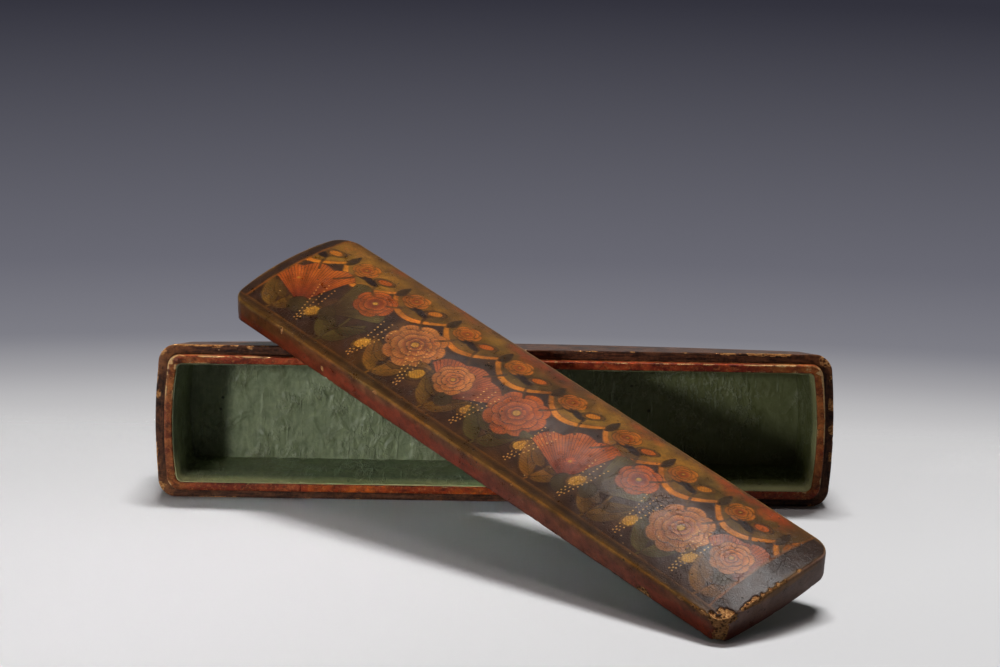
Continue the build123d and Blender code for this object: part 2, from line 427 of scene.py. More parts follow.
def paint_grounds(painting):
    """Dark ground in front, and golden olive, rusty in places, behind the gold band."""
    everywhere = np.arange(len(painting.x))
    x, y = painting.x, painting.y
    spots = np.stack([x, y, 0 * x], -1)
    small = lumps(spots, 3.5, 5)
    uneven = (1 + 0.25 * lumps(spots, 14.0, 3) + 0.16 * small)[:, None]
    ground = blend(DARK_GROUND, tint(84, 58, 34), smooth(0.1, 0.9, lumps(spots, 9.0, 13))[:, None])
    painting.colour[:] = ground * uneven
    olive = blend(OLIVE_GROUND, tint(108, 86, 42), smooth(-0.5, 0.7, lumps(spots, 18.0, 9))[:, None])
    olive = blend(olive, tint(122, 80, 30), smooth(21, 28, y)[:, None] * 0.7)
    rusty = smooth(19, 27, y + 2.5 * small) * smooth(-0.2, 0.5, lumps(spots, 20.0, 15))
    above = band_line(x) - y
    painting.layer(everywhere, above, blend(olive, RUST, rusty[:, None]) * uneven, x / 3.1 + y / 2.0, 0.12)
    painting.layer(everywhere, np.abs(above) - BAND_WIDTH / 2, GOLD * uneven)
    painting.line(everywhere, np.abs(above - BAND_WIDTH) + 0.12)


def paint_frame(painting):
    """Plain dark bands along the front and both ends, each set off by a thin ochre line."""
    everywhere = np.arange(len(painting.x))
    x, y = painting.x, painting.y
    uneven = (1 + 0.25 * lumps(np.stack([x, y, 0 * x], -1), 6.0, 17))[:, None]
    end = np.where(x > 0, x - RIGHT_PLAIN, LEFT_PLAIN - x)
    painting.layer(everywhere, -end, tint(62, 44, 40) * uneven, lined=False)
    painting.layer(everywhere, np.abs(end) - 0.4, tint(140, 92, 38) * uneven, lined=False)
    front = y - FRONT_PLAIN
    painting.layer(everywhere, front, tint(66, 46, 32) * uneven, lined=False)
    painting.layer(everywhere, np.abs(front) - 0.25, tint(118, 84, 40) * uneven, lined=False)


def orange_rose(painting, x, y, lean):
    blossom(painting, x, y, 12.2, ORANGE, BRICK, lean, 8)
    leaf(painting, x + 8, y - 5, 12.0, 5.0, -0.5, 0.2, GREY_GREEN)


def orange_fan(painting, x, y, _):
    fan_flower(painting, x + 8, y - 12, 26.0, 0.74, pi / 2 + 0.5, BRICK, ORANGE, 13)


def green_fan(painting, x, y, lean):
    fan_flower(painting, x - 7, y - 11, 22.0, 0.7, pi / 2 - 0.45, MOSS, GREY_GREEN * 1.3, 12)
    blossom(painting, x + 2, y + 5, 8.4, ORANGE, BRICK, lean, 6, 3)


def pale_rose(painting, x, y, lean):
    blossom(painting, x, y, 12.2, BLUSH, BRICK, lean, 8)
    leaf(painting, x + 8, y - 5, 12.0, 5.0, -0.5, 0.2, OCHRE)


def plum_fan(painting, x, y, lean):
    fan_flower(painting, x + 2, y - 11, 21.0, 1.0, pi / 2, PLUM, ROSE, 14)
    blossom(painting, x - 2, y - 2, 8.0, BLUSH, ROSE, lean, 7, 4)


PLANT_KINDS = (orange_rose, orange_fan, green_fan, pale_rose, plum_fan)


def paint_plants(painting):
    """One flowering plant under each arch, its kinds in turn, with leaves, buds and dotted sprays."""
    chance = np.random.default_rng(11)
    for number, x in enumerate(PLANTS):
        lean = chance.uniform(-0.25, 0.25)
        head = (x + 8 * lean, -5 + chance.uniform(-2, 3))
        kind = (number + 1) % len(PLANT_KINDS)
        green = FOLIAGE[number % 3]
        stem(painting, (x - 2, -24.5), (x + 3, -16), head, 1.1, green)
        for side in (-1, 1):
            leaf_turn = pi / 2 - side * (0.95 + chance.uniform(-0.2, 0.2))
            leaf(painting, x - 1, -23, 17.0, 6.6, leaf_turn, 0.22 * side, green)
            leaf(painting, x, -17, 12.5, 4.6, pi / 2 - side * 1.3, 0.3 * side, green * 0.7)
        PLANT_KINDS[kind](painting, *head, lean)
        stem(painting, (x + 5, head[1] + 7), (x + 11, 9), (x + 9, 15.5), 0.7, OCHRE * 0.7)
        stem(painting, (x - 4, head[1] + 8), (x - 9, 9), (x - 8, 14), 0.7, OCHRE * 0.7)
        leaf(painting, x + 8, 11, 8.5, 3.4, 0.35, -0.2, SOOT * 1.6)
        leaf(painting, x - 8, 10.5, 8.0, 3.2, pi - 0.4, 0.2, SOOT * 1.6)
        blossom(painting, x + 8.5, 16, 5.6, GOLD, tint(176, 84, 30), lean, 5, 3)
        oval(painting, x - 8.0, 15.5, 8.6, 5.2, 0.5 + lean, GOLD if kind % 2 else ORANGE, OCHRE * 0.8)
        leaf(painting, x + 1, 12.5, 8.8, 3.4, pi / 2, 0.12, MOSS)
        oval(painting, x + 13.5, -15 + 4 * lean, 9.0, 6.2, 0.9, STRAW, OCHRE * 0.6)
    for x in PLANTS[:-1]:
        spray(painting, x + 11, -27, 25, pi / 2 + chance.uniform(-0.5, 0.1), 3, 0.25)
    for x in np.arange(-112.0, 114.0, 5.0):
        y = chance.uniform(-23, -4)
        around = painting.near(x, y, 2.4)
        if painting.ink[around].min() > 1.0 and painting.dots[around].min() > 1.0:
            rosette(painting, x, y, chance.uniform(1.6, 2.8), tint(190, 88, 40), chance.uniform(0, 1))


LID_COLUMNS = 540
LID_ROWS = 122
SKIRT_ROWS = 11
RIDGE_START = radians(15)
RIDGE_ANGLES = np.radians([38, 62, 90])
PULL_REACH = 28.6

# How age has dimmed and yellowed the painting, and the left end of the skirt
AGED = np.array([0.73, 0.65, 0.40])
LEFT_AGED = np.array([0.9, 0.82, 0.55])

# Chips in the lid, each as where it lies (along, across, above the rim), how far it
# reaches in those three directions and how deep it is
LID_CHIPS = [
    (122.4, -25.2, 9.8, 3.4, 4.8, 2.4, 0.7),
    (121.2, -27.2, 8.0, 4.0, 2.6, 2.8, 0.8),
    (122.2, -27.0, 4.6, 2.6, 3.0, 4.6, 0.8),
    (122.2, -27.2, 0.6, 2.0, 2.4, 2.2, 0.8),
    (124.0, -17.5, 11.0, 1.3, 2.6, 1.2, 0.35),
    (124.2, -12.6, 11.4, 1.5, 2.0, 1.3, 0.45),
    (124.3, -9.0, 11.6, 1.1, 0.9, 1.0, 0.3),
    (124.4, -5.6, 11.7, 1.0, 0.8, 1.0, 0.25),
    (124.5, -1.8, 11.8, 1.1, 1.2, 1.0, 0.25),
    (124.5, 1.8, 11.8, 0.9, 0.7, 0.9, 0.2),
    (124.2, 9.0, 11.6, 0.9, 1.0, 0.9, 0.2),
    (-122.0, -27.4, 1.0, 1.6, 1.8, 1.6, 0.5),
    (113.0, -28.4, 9.0, 4.0, 0.7, 0.5, 0.15),
    (104.5, -28.4, 8.9, 1.6, 0.7, 0.5, 0.15),
    (88.0, -28.6, 1.2, 4.2, 0.6, 1.5, 0.1),
    (24.0, -28.5, 8.7, 1.2, 0.6, 0.5, 0.12),
    (-46.0, -28.5, 8.8, 1.0, 0.6, 0.5, 0.12),
    (-74.0, -28.6, 3.2, 0.7, 0.5, 1.3, 0.12),
    (-96.0, -28.5, 8.6, 0.6, 0.5, 1.2, 0.12),
]


def crown_height(x, y):
    """Height of the arched crown over the rim: an arc across, whose rise falls off towards the ends."""
    share = np.abs(2 * x / BOX_LENGTH)
    rise = END_RISE + (CROWN_RISE - END_RISE) * np.maximum(0, 1 - share**4)
    radius = ((BOX_WIDTH / 2) ** 2 + rise**2) / (2 * rise)
    return SKIRT + rise - radius + np.sqrt(radius**2 - y**2)


def lid_ring(a, b, inset):
    length = BOX_LENGTH - 2 * inset
    return plan_points(a, b, length, BOX_WIDTH - 2 * inset, LID_FRONT_CORNER - inset, LID_BACK_CORNER - inset)


def chipped(spots, chips, seed, raggedness):
    """How much of each point is broken away, from 0 to 1, and how deep, from ragged ellipsoids."""
    ragged = lumps(spots, 2.6, seed) + 0.5 * lumps(spots, 1.0, seed + 2)
    share = np.zeros(len(spots))
    depth = np.zeros(len(spots))
    for chip in chips:
        distance = np.sqrt((((spots - chip[:3]) / chip[3:6]) ** 2).sum(-1))
        inside = smooth(1.12, 0.82, distance + raggedness * ragged)
        share = np.maximum(share, inside)
        depth = np.maximum(depth, inside * chip[6] * (0.75 + 0.35 * lumps(spots, 1.2, seed + 5)))
    return share, depth


def skirt_colour(x, height):
    """Olive at the ridge, then brown, then dull red with a dark rim, browner and darker at the left."""
    left = smooth(-60, -120, x)[:, None]
    rosy = smooth(-10, 50, x)[:, None] * smooth(110, 60, x)[:, None]
    red = blend(tint(126, 56, 38), tint(130, 78, 66), rosy)
    red = blend(red, tint(98, 44, 26), left * 0.7)
    brown = blend(tint(112, 74, 50), tint(88, 62, 36), left)
    spots = np.stack([x, height, 0 * x], -1)
    uneven = lumps(spots, (7.0, 1.6, 9.0), 51)
    colour = blend(red, brown, 0.85 * smooth(4.4, 7.8, height + 1.5 * uneven + 2.2 * left[:, 0])[:, None])
    colour = colour * blend(1.0, LEFT_AGED, left)
    colour = blend(colour, tint(114, 92, 48), 0.7 * smooth(8.2, 9.5, height + 0.6 * uneven)[:, None])
    dark_rim = 1 - 0.4 * smooth(1.3, 0.3, height)
    light = dark_rim * blend(1.15, 1.5, smooth(20, 100, x)) * (1 + 0.3 * lumps(spots, (2.6, 1.8, 3.0), 53))
    return colour * light[:, None]


def lid_ceiling(x, y):
    return np.stack([x, y, crown_height(x, y) - CROWN_THICKNESS + CLEAR], -1)


def lid_colour(spots, painted, crown, outside):
    """The painted crown, olive along its edge, then the skirt, whose right end face rises from dark red into a
    purplish grey painted reflection, and a paler ridge that is partly rubbed wear and partly a painted highlight.
    """
    x, y, height = spots.T
    # The right end face: dark red low down, fading upwards into a purplish grey painted reflection on the glossy
    # end.
    painted_reflection = smooth(0, 7, height + 0.16 * (y + 10))[:, None]
    end_colour = blend(tint(104, 52, 40), tint(154, 128, 124), painted_reflection)
    side = blend(skirt_colour(x, height), end_colour, smooth(121.4, 123.4, x)[:, None])
    colour = blend(side, painted * AGED, crown[:, None])
    rim_edge = np.minimum(BOX_WIDTH / 2 - np.abs(y), BOX_LENGTH / 2 - np.abs(x))
    olive_edge = smooth(2.4, 1.0, rim_edge + 0.6 * lumps(spots, 5.0, 47)) * crown
    colour = blend(colour, tint(96, 70, 30), olive_edge[:, None] * 0.75)
    # A paler line along the ridge, weaker towards the left end: partly rubbed wear, partly a painted highlight.
    ridge = smooth(1.0, 0.5, rim_edge) * smooth(8.7, 9.3, height) * outside
    ridge = ridge * smooth(-0.7, 0.2, lumps(spots, (5.0, 5.0, 3.0), 49))
    ridge = ridge * blend(0.35, 1.0, smooth(-110, 20, x))
    return blend(colour, tint(172, 124, 62), ridge[:, None] * 0.8)


def lid_shell():
    """The crown as a grid over its plan, and round its border the ridge, skirt, rim, inner wall and ceiling.

    Each row round the border is the plan outline drawn in by an inset, at a height. The ridge is an
    arc of a circle, the skirt a straight drop, and the ceiling runs in to a line along the middle.
    """
    a, b = np.meshgrid(np.linspace(-1, 1, LID_COLUMNS + 1), np.linspace(-1, 1, LID_ROWS + 1), indexing="ij")
    start = RIDGE_ROUND * (1 - sin(RIDGE_START))
    x, y = lid_ring(a, b, start)
    rows = [np.stack([x, y, crown_height(x, y)], -1).reshape(-1, 3)]
    slants = [pi / 2]
    loop_a, loop_b, i, j = border_loop(LID_COLUMNS, LID_ROWS)
    top = crown_height(*lid_ring(loop_a, loop_b, start))
    wall_top = top - RIDGE_ROUND * cos(RIDGE_START)
    inner = LID_WALL - CLEAR
    profile = []
    for angle in RIDGE_ANGLES:
        height = top - RIDGE_ROUND * (cos(RIDGE_START) - cos(angle))
        profile.append((RIDGE_ROUND * (1 - sin(angle)), height, pi / 2 - angle))
    profile += [(0.0, wall_top * share, 0.0) for share in np.linspace(0.94, 0.05, SKIRT_ROWS)]
    profile += [(RIM_ROUND, 0.02, 0.0), (LID_WALL - RIM_ROUND, 0.02, 0.0), (inner, 0.3, 0.0), (inner, 1.2, 0.0)]
    for inset, height, slant in profile:
        x, y = lid_ring(loop_a, loop_b, inset)
        rows.append(np.stack(np.broadcast_arrays(x, y, height), -1))
        slants.append(slant)
    x, y = lid_ring(loop_a, loop_b, inner)
    spine = (BOX_LENGTH - BOX_WIDTH) / 2
    rows += [lid_ceiling(blend(x, loop_a * spine, share), blend(y, 0, share)) for share in (0.0, 0.15, 0.35, 0.6)]
    x = np.linspace(-spine, spine, LID_COLUMNS + 1)
    rows.append(lid_ceiling(x, 0 * x))
    slants += [0.0] * (len(rows) - len(slants))
    faces = [grid_faces(LID_COLUMNS, LID_ROWS), *stacked_faces(rows, i * (LID_ROWS + 1) + j, i)]
    spots = np.concatenate(rows)
    slant = np.repeat(slants, [len(row) for row in rows])
    x, y, height = spots.T

    outside = np.ones(len(spots))
    outside[len(rows[0]) + (len(RIDGE_ANGLES) + SKIRT_ROWS + 1) * len(loop_a):] = 0
    bare, depth = chipped(spots, LID_CHIPS, 21, 0.42)
    fray = smooth(0.15, 0.75, lumps(spots, (3.0, 3.0, 2.0), 31)) * smooth(1.4, 0.0, height)
    bare = np.maximum(bare, fray * 0.8) * outside
    depth = depth * outside
    pull_x = np.sign(x) * smooth(100, 125, np.abs(x)) * smooth(119, 124, np.abs(x))
    pull_y = y / PULL_REACH * smooth(10, 26, np.abs(y))
    inwards = depth * np.cos(slant) / np.maximum(np.hypot(pull_x, pull_y), 0.3)
    swell = 0.09 * lumps(spots, 17.0, 41) + 0.035 * lumps(spots, 4.0, 43)
    lift = fray * 0.45 * smooth(2.5, 0.0, height) + np.where(height > SKIRT - 1, swell - 0.1, 0)
    place = lid_place(x - pull_x * inwards, y - pull_y * inwards, height - depth * np.sin(slant) + lift * outside)

    painting = Painting(x, y)
    paint_grounds(painting)
    paint_plants(painting)
    paint_frame(painting)
    crown = np.where(slant > 1.2, 1.0, 0.0) * outside
    layers = {
        "ink": blend(4.0, painting.ink, crown),
        "dots": blend(4.0, painting.dots, crown),
        "strokes": painting.strokes,
        "stroke_amount": painting.stroke_amount * crown,
        "bare": bare,
        "paint": opaque(lid_colour(spots, painting.colour, crown, outside)),
    }
    return new_mesh("lid_shell_painted", place, np.concatenate(faces), place=spots, **layers)


# The base: outlines of its outside, of the collar's seat and of the space inside
def base_ring(a, b, depth, inset=0.0):
    length = BOX_LENGTH - 2 * (depth * END_SLOPE + inset)
    width = BOX_WIDTH - 2 * (depth * SIDE_SLOPE + inset)
    return plan_points(a, b, length, width, BASE_CORNER - inset, BASE_CORNER - inset)


def collar_ring(a, b):
    length = BOX_LENGTH - 2 * SHOULDER
    width = BOX_WIDTH - 2 * SHOULDER
    return plan_points(a, b, length, width, COLLAR_FRONT_CORNER, COLLAR_BACK_CORNER)


def mouth_ring(a, b, depth, inset=0.0):
    fall = depth + COLLAR_HEIGHT
    wall = SHOULDER + COLLAR_THICKNESS + inset
    length = BOX_LENGTH - 2 * (wall + fall * END_SLOPE)
    width = BOX_WIDTH - 2 * (wall + fall * SIDE_SLOPE)
    return plan_points(a, b, length, width, MOUTH_FRONT_CORNER - inset, MOUTH_BACK_CORNER - inset)


BASE_COLUMNS = 470
BASE_ROWS = 108
HIDDEN_RINGS = 8
SHOULDER_EDGE = 0.6
FLOOR_DEPTH = BODY_DEPTH - BOTTOM

# Worn places on the base, in the same order of numbers as the lid's chips
BASE_CHIPS = [
    (-123.2, 26.4, -0.8, 3.2, 3.0, 2.4, 0.08),
    (-110.0, 28.5, -0.3, 17.0, 0.7, 0.7, 0.1),
    (-124.7, 18.0, -0.5, 0.8, 6.0, 1.0, 0.12),
    (-122.6, -26.4, -0.8, 2.4, 2.6, 2.4, 0.08),
    (-124.8, -16.0, -0.5, 0.8, 7.5, 1.0, 0.12),
    (-89.8, 28.3, -0.1, 1.7, 1.3, 0.9, 0.4),
    (122.3, 26.6, -0.5, 2.6, 2.4, 1.8, 0.08),
    (100.0, 28.4, -0.2, 14.0, 0.7, 0.7, 0.1),
    (125.0, 9.0, -0.5, 0.5, 1.2, 0.6, 0.15),
    (125.0, -3.0, -0.5, 0.5, 0.8, 0.6, 0.1),
    (124.4, -22.0, -0.6, 0.6, 2.6, 0.8, 0.1),
    (119.0, -28.2, -0.5, 3.0, 0.6, 0.6, 0.1),
    (60.0, -28.6, -0.3, 22.0, 0.5, 0.5, 0.05),
    (-104.0, -28.6, -0.3, 10.0, 0.5, 0.6, 0.06),
]


def base_shell():
    """The base as rings, from a line along its inner floor to a line along its bottom.

    The rings climb the flared inner wall, step out under the collar, cross the shoulder, turn over a
    rounded edge, run down the flared outer wall and round the foot. The side that lies uppermost
    sags along its foot by a parabola along the box.
    """
    loop_a, loop_b, i, _ = border_loop(BASE_COLUMNS, BASE_ROWS)
    spine_reach = (BOX_LENGTH - BOX_WIDTH) / 2
    spine = np.linspace(-spine_reach, spine_reach, BASE_COLUMNS + 1)
    rings = [(spine, 0.0, -FLOOR_DEPTH)]
    for share in (0.5, 0.0):
        x, y = mouth_ring(loop_a, loop_b, FLOOR_DEPTH)
        rings.append((blend(x, loop_a * spine_reach, share), y * (1 - share), -FLOOR_DEPTH))
    for depth in (18.0, 10.0, COLLAR_SEAT):
        rings.append((*mouth_ring(loop_a, loop_b, depth), -depth))
    seat_x, seat_y = collar_ring(loop_a, loop_b)
    for depth in (COLLAR_SEAT, 2.0, 0.12):
        rings.append((seat_x, seat_y, -depth))
    edge_x, edge_y = base_ring(loop_a, loop_b, 0.0, SHOULDER_EDGE)
    for share in np.linspace(0.04, 1.0, 9):
        rings.append((blend(seat_x, edge_x, share), blend(seat_y, edge_y, share), 0.0))
    for angle in np.radians([25, 50, 75]):
        inset = SHOULDER_EDGE * (1 - sin(angle))
        rings.append((*base_ring(loop_a, loop_b, 0.0, inset), -SHOULDER_EDGE * (1 - cos(angle))))
    for depth in np.concatenate([np.linspace(0.9, 4.0, 7), np.linspace(5.2, BODY_DEPTH - FOOT_ROUND, 19)]):
        rings.append((*base_ring(loop_a, loop_b, depth), -depth))
    for angle in np.radians([30, 60, 85]):
        x, y = base_ring(loop_a, loop_b, BODY_DEPTH, FOOT_ROUND * (1 - cos(angle)))
        rings.append((x, y, -BODY_DEPTH + FOOT_ROUND * (1 - sin(angle))))
    foot_x, foot_y = base_ring(loop_a, loop_b, BODY_DEPTH, FOOT_ROUND)
    for share in np.linspace(0.0, 0.9, 10):
        rings.append((blend(foot_x, loop_a * spine_reach, share), foot_y * (1 - share), -BODY_DEPTH))
    rings.append((spine, 0.0, -BODY_DEPTH))
    rows = [np.stack(np.broadcast_arrays(*ring), -1) for ring in rings]
    faces = np.concatenate(stacked_faces(rows, i, i))
    spots = np.concatenate(rows)

    seen = np.arange(len(spots)) > len(spine) + HIDDEN_RINGS * len(loop_a)
    bare, depth = chipped(spots, BASE_CHIPS, 61, 0.5)
    x, y, height = spots.T
    side_gap = BOX_WIDTH / 2 + height * SIDE_SLOPE - np.abs(y)
    end_gap = BOX_LENGTH / 2 + height * END_SLOPE - END_BOW - np.abs(x)
    to_edge = np.hypot(np.clip(np.minimum(side_gap, end_gap), 0, None), height)
    rubbed = smooth(0.8, 0.1, to_edge) * smooth(0.0, 0.9, lumps(spots, (5.0, 5.0, 2.0), 63))
    bare = np.maximum(bare, rubbed * 0.85) * seen
    pull = np.stack([np.sign(x) * smooth(112, 124, np.abs(x)), np.sign(y) * smooth(16, 27, np.abs(y))], -1)
    pull /= np.maximum(np.hypot(*pull.T), 0.4)[:, None]
    flat = smooth(-0.5, -0.1, height)
    worn = depth * seen + 0.1 * rubbed
    moved = spots.copy()
    moved[:, :2] -= pull * (worn * (1 - 0.6 * flat))[:, None]
    moved[:, 2] -= worn * flat * 0.7 + 0.06 * lumps(spots, 9.0, 67) * flat * seen + 0.06 * flat
    sag = (0.75 - 1.5 * (x / 118) ** 2) * np.clip(-height / BODY_DEPTH, 0, 1) * smooth(15, 24, y) * seen
    moved[:, 1] += sag
    place = base_place(moved[:, 0], moved[:, 1], moved[:, 2])
    place[:, 2] = np.maximum(place[:, 2], 0)
    corner = np.exp(-((np.abs(x) - 123) ** 2 + (np.abs(y) - 27) ** 2) / 70)
    end_rub = 0.4 * smooth(1.8, 0.3, to_edge) * smooth(-112, -122, x) * smooth(-16, 20, y)
    washed = smooth(0.3, 1.3, 1.2 * corner + end_rub + 0.5 * lumps(spots, 3.0, 71))
    layers = {"place": spots, "bare": bare, "washed": washed, "from_edge": 6 * np.tanh(to_edge / 6)}
    return new_mesh("base_shell_lacquered", place, faces, **layers)


# The collar, in strips that are cut from one closed path, each with its two cuts, how many
# sections it has, and its dull and its bright red
COLLAR_STRIPS = {
    "collar_lower_left_strip": ("left_low", "seam", 190, tint(128, 44, 22), tint(172, 82, 42)),
    "collar_lower_right_strip": ("seam", "right_low", 440, tint(150, 54, 20), tint(204, 96, 28)),
    "collar_right_strip": ("right_low", "right_high", 100, tint(128, 54, 24), tint(186, 108, 52)),
    "collar_upper_strip": ("right_high", "left_high", 560, tint(112, 28, 12), tint(172, 68, 30)),
    "collar_left_strip": ("left_high", "left_low", 100, tint(124, 54, 26), tint(180, 104, 56)),
}
COLLAR_EDGE = 0.5
BUTT_Y = BOX_WIDTH / 2 - SHOULDER - COLLAR_THICKNESS - (COLLAR_SEAT + COLLAR_HEIGHT) * SIDE_SLOPE
JOINT_GAP = 0.07


def collar_line(share, height):
    """Once round the collar from the middle of its left end, between its outer and inner face, and its cuts.

    The share is 0 on the outer face and 1 on the inner one. The long strips are cut off square to
    the box where they pass the width of the inner face.
    """
    quarter = np.linspace(0, 1, 400)
    a = np.concatenate([0 * quarter - 1, 2 * quarter - 1, 0 * quarter + 1, 1 - 2 * quarter, 0 * quarter - 1])
    b = np.concatenate([-quarter, 0 * quarter - 1, 2 * quarter - 1, 0 * quarter + 1, 1 - quarter])
    outer = np.stack(collar_ring(a, b))
    inner = np.stack(mouth_ring(a, b, -height))
    x, y = blend(outer, inner, share)
    number = np.arange(len(a)) - np.arange(len(a)) // len(quarter)
    butt = min(BUTT_Y, np.abs(y).max() - 0.03)
    cuts = {
        "left_low": np.interp(butt, -y[:600], number[:600]),
        "seam": np.interp(COLLAR_SEAM_X, x[400:800], number[400:800]),
        "right_low": np.interp(-butt, y[600:1000], number[600:1000]),
        "right_high": np.interp(butt, y[1000:1400], number[1000:1400]),
        "left_high": np.interp(-butt, -y[1400:], number[1400:]),
    }
    return x, y, number, cuts


def collar_section():
    """The strip's section, up its outer face, over its rounded edge and top, and down its inner face."""
    section = [(0.0, height) for height in (-COLLAR_SEAT + CLEAR, -1.5, 0.1, 0.9, 1.7, 2.5, 3.2)]
    for angle in np.radians([5, 35, 65, 90]):
        section.append((COLLAR_EDGE * (1 - cos(angle)), COLLAR_HEIGHT - COLLAR_EDGE * (1 - sin(angle))))
    section += [(inset, COLLAR_HEIGHT) for inset in (0.85, 1.2, 1.6, 2.0, 2.4, 2.62)]
    inner_heights = (COLLAR_HEIGHT - 0.2, 3.6, 2.6, 1.2, -1.0, -COLLAR_SEAT + CLEAR)
    return section + [(COLLAR_THICKNESS, height) for height in inner_heights]


def collar_wear(name, spots, inset):
    """How far each point is rubbed bare, and how far it is worn golden: at the edges and the corners."""
    x, y, height = spots.T
    to_top = COLLAR_HEIGHT - height
    rough = lumps(spots, (6.0, 6.0, 3.0), 81)
    fine = lumps(spots, (1.4, 1.4, 1.4), 83)
    corner = np.exp(-((np.abs(x) - 119) ** 2 + (np.abs(y) - 23) ** 2) / 30)
    corner += 1.3 * np.exp(-((x + 118) ** 2 / 90 + (y - 22) ** 2 / 70))
    corner += 1.2 * np.exp(-((x - 109) ** 2 / 60 + (y - 24) ** 2 / 8))
    from_outer = np.hypot(inset, to_top)
    from_inner = np.hypot(COLLAR_THICKNESS - inset, to_top)
    share = blend(0.3, 1.0, smooth(5, 20, y)) * blend(0.75, 1.1, smooth(-20, -90, x))
    bare = share * smooth(0.8, 0.1, from_outer) * smooth(-0.5, 0.3, rough + 0.5 * fine)
    if name == "collar_right_strip":
        bare = bare + 0.7 * smooth(0.9, 0.1, from_outer) * smooth(-0.8, 0.4, rough)
    bare = bare + 0.6 * smooth(0.6, 0.1, from_inner) * smooth(0.0, 0.8, rough + 0.3 * fine)
    bare = bare + 0.6 * corner * smooth(-0.3, 0.7, rough + 0.7 * fine)
    golden = np.clip(0.8 * corner, 0, 0.8) * smooth(-0.9, 0.5, rough + 0.5 * fine)
    return np.clip(bare, 0, 1) * smooth(2.2, 0.6, to_top), golden


def collar_strip(name):
    """A section carried along the collar's path between two cuts, closed at its ends."""
    start, end, stations, dull, bright_red = COLLAR_STRIPS[name]
    section = collar_section()
    spots = []
    for inset, height in section:
        x, y, number, cuts = collar_line(inset / COLLAR_THICKNESS, height)
        first, last = cuts[start], cuts[end]
        if last < first:
            last += number[-1]
        along = np.linspace(first + JOINT_GAP, last - JOINT_GAP, stations) % number[-1]
        x, y = np.interp(along, number, x), np.interp(along, number, y)
        spots.append(np.stack(np.broadcast_arrays(x, y, height), -1))
    spots = np.stack(spots, 1)
    count = len(section)
    k, m = np.meshgrid(np.arange(stations - 1), np.arange(count), indexing="ij")
    after = (m + 1) % count
    sides = np.stack([k * count + m, (k + 1) * count + m, (k + 1) * count + after, k * count + after], -1)
    m = np.arange((count - 1) // 2)
    cap = np.stack([m, count - 1 - m, count - 2 - m, m + 1], -1)
    faces = np.concatenate([sides.reshape(-1, 4), cap[:, ::-1], cap + (stations - 1) * count])
    spots = spots.reshape(-1, 3)
    x, y, height = spots.T
    inset = np.tile([part[0] for part in section], stations)
    bare, golden = collar_wear(name, spots, inset)
    worn_down = 0.16 * bare + 0.04 * (1 + lumps(spots, 3.0, 85))
    place = base_place(x, y, height - worn_down * smooth(0.8, 0.0, COLLAR_HEIGHT - height))
    bright = smooth(-0.5, 0.6, lumps(spots, 10.0, 87) + 0.5 * lumps(spots, 2.5, 89))
    if name == "collar_lower_right_strip":
        bright = bright * smooth(60, -10, x)
    red = blend(blend(dull, bright_red, bright[:, None]), tint(186, 118, 52), golden[:, None])
    # Darker low on the outer face, where the collar stands up from the shoulder: painted shade in the joint.
    shade = smooth(2.6, 0.5, height) * smooth(1.4, 0.2, inset)
    paint = opaque(blend(red, tint(44, 22, 14), shade[:, None]))
    return new_mesh(name + "_lacquered", place, faces, place=spots, bare=bare, paint=paint)


# The green paper inside the base
def half_mouth(depth):
    return BOX_LENGTH / 2 - SHOULDER - COLLAR_THICKNESS - (depth + COLLAR_HEIGHT) * END_SLOPE - END_BOW


# The end sheets wrap round the corners as far as this from the ends of the box's floor
END_WRAP = 2.8
LINING_REACH = half_mouth(FLOOR_DEPTH) - END_WRAP
SHEET_COLUMNS = 471
SHEET_ROWS = 64
WRINKLE = 0.14


def sheet_mesh(name, front, back):
    """A thin closed sheet from two grids of spots in the base, joined round their border."""
    columns, rows = front.shape[0] - 1, front.shape[1] - 1
    _, _, i, j = border_loop(columns, rows)
    edge = i * (rows + 1) + j
    count = front.shape[0] * front.shape[1]
    faces = grid_faces(columns, rows)
    faces = np.concatenate([faces, faces[:, ::-1] + count, ring_faces(edge, edge + count)])
    spots = np.concatenate([front.reshape(-1, 3), back.reshape(-1, 3)])
    to_mouth = COLLAR_HEIGHT - LINING_MARGIN - spots[:, 2]
    # The lower side and, less, the right end, where light falls in at the mouth.
    painted_light_side = np.maximum(smooth(-10, -20, spots[:, 1]), 0.5 * smooth(105, 112, spots[:, 0]))
    # The 'rubbed' layer is painted light: paler paper near the mouth on those sides. The 'cut' layer is painted
    # shade along the top edge, where the paper meets the collar.
    layers = {"rubbed": smooth(9.0, 2.0, to_mouth) * painted_light_side, "cut": smooth(0.6, 0.1, to_mouth)}
    return new_mesh(name, base_place(*spots.T), faces, place=spots, **layers)


def paper_wrinkles(spots):
    """Soft wrinkles across the paper, drawn out along the height of the wall, and small lumps of paste."""
    folds = lumps(spots, (5.0, 9.0, 9.0), 91)
    creases = np.abs(lumps(spots, (9.0, 12.0, 12.0), 97, 2))
    return WRINKLE * (0.6 * folds + 0.5 * lumps(spots, (2.0, 2.6, 2.6), 93) + smooth(0.12, 0.0, creases))


def floor_sheet():
    a, b = np.meshgrid(np.linspace(-1, 1, SHEET_COLUMNS), np.linspace(-1, 1, 97), indexing="ij")
    depth = FLOOR_DEPTH - LINING
    x, y = mouth_ring(a, b, depth, CLEAR)
    front = np.stack([x, y, np.full(x.shape, -depth)], -1)
    edge = smooth(1.0, 0.96, np.maximum(np.abs(a), np.abs(b)))
    front[..., 2] += paper_wrinkles(front) * edge
    back = np.stack([x, y, np.full(x.shape, -FLOOR_DEPTH + CLEAR)], -1)
    return sheet_mesh("base_floor_paper", front, back)


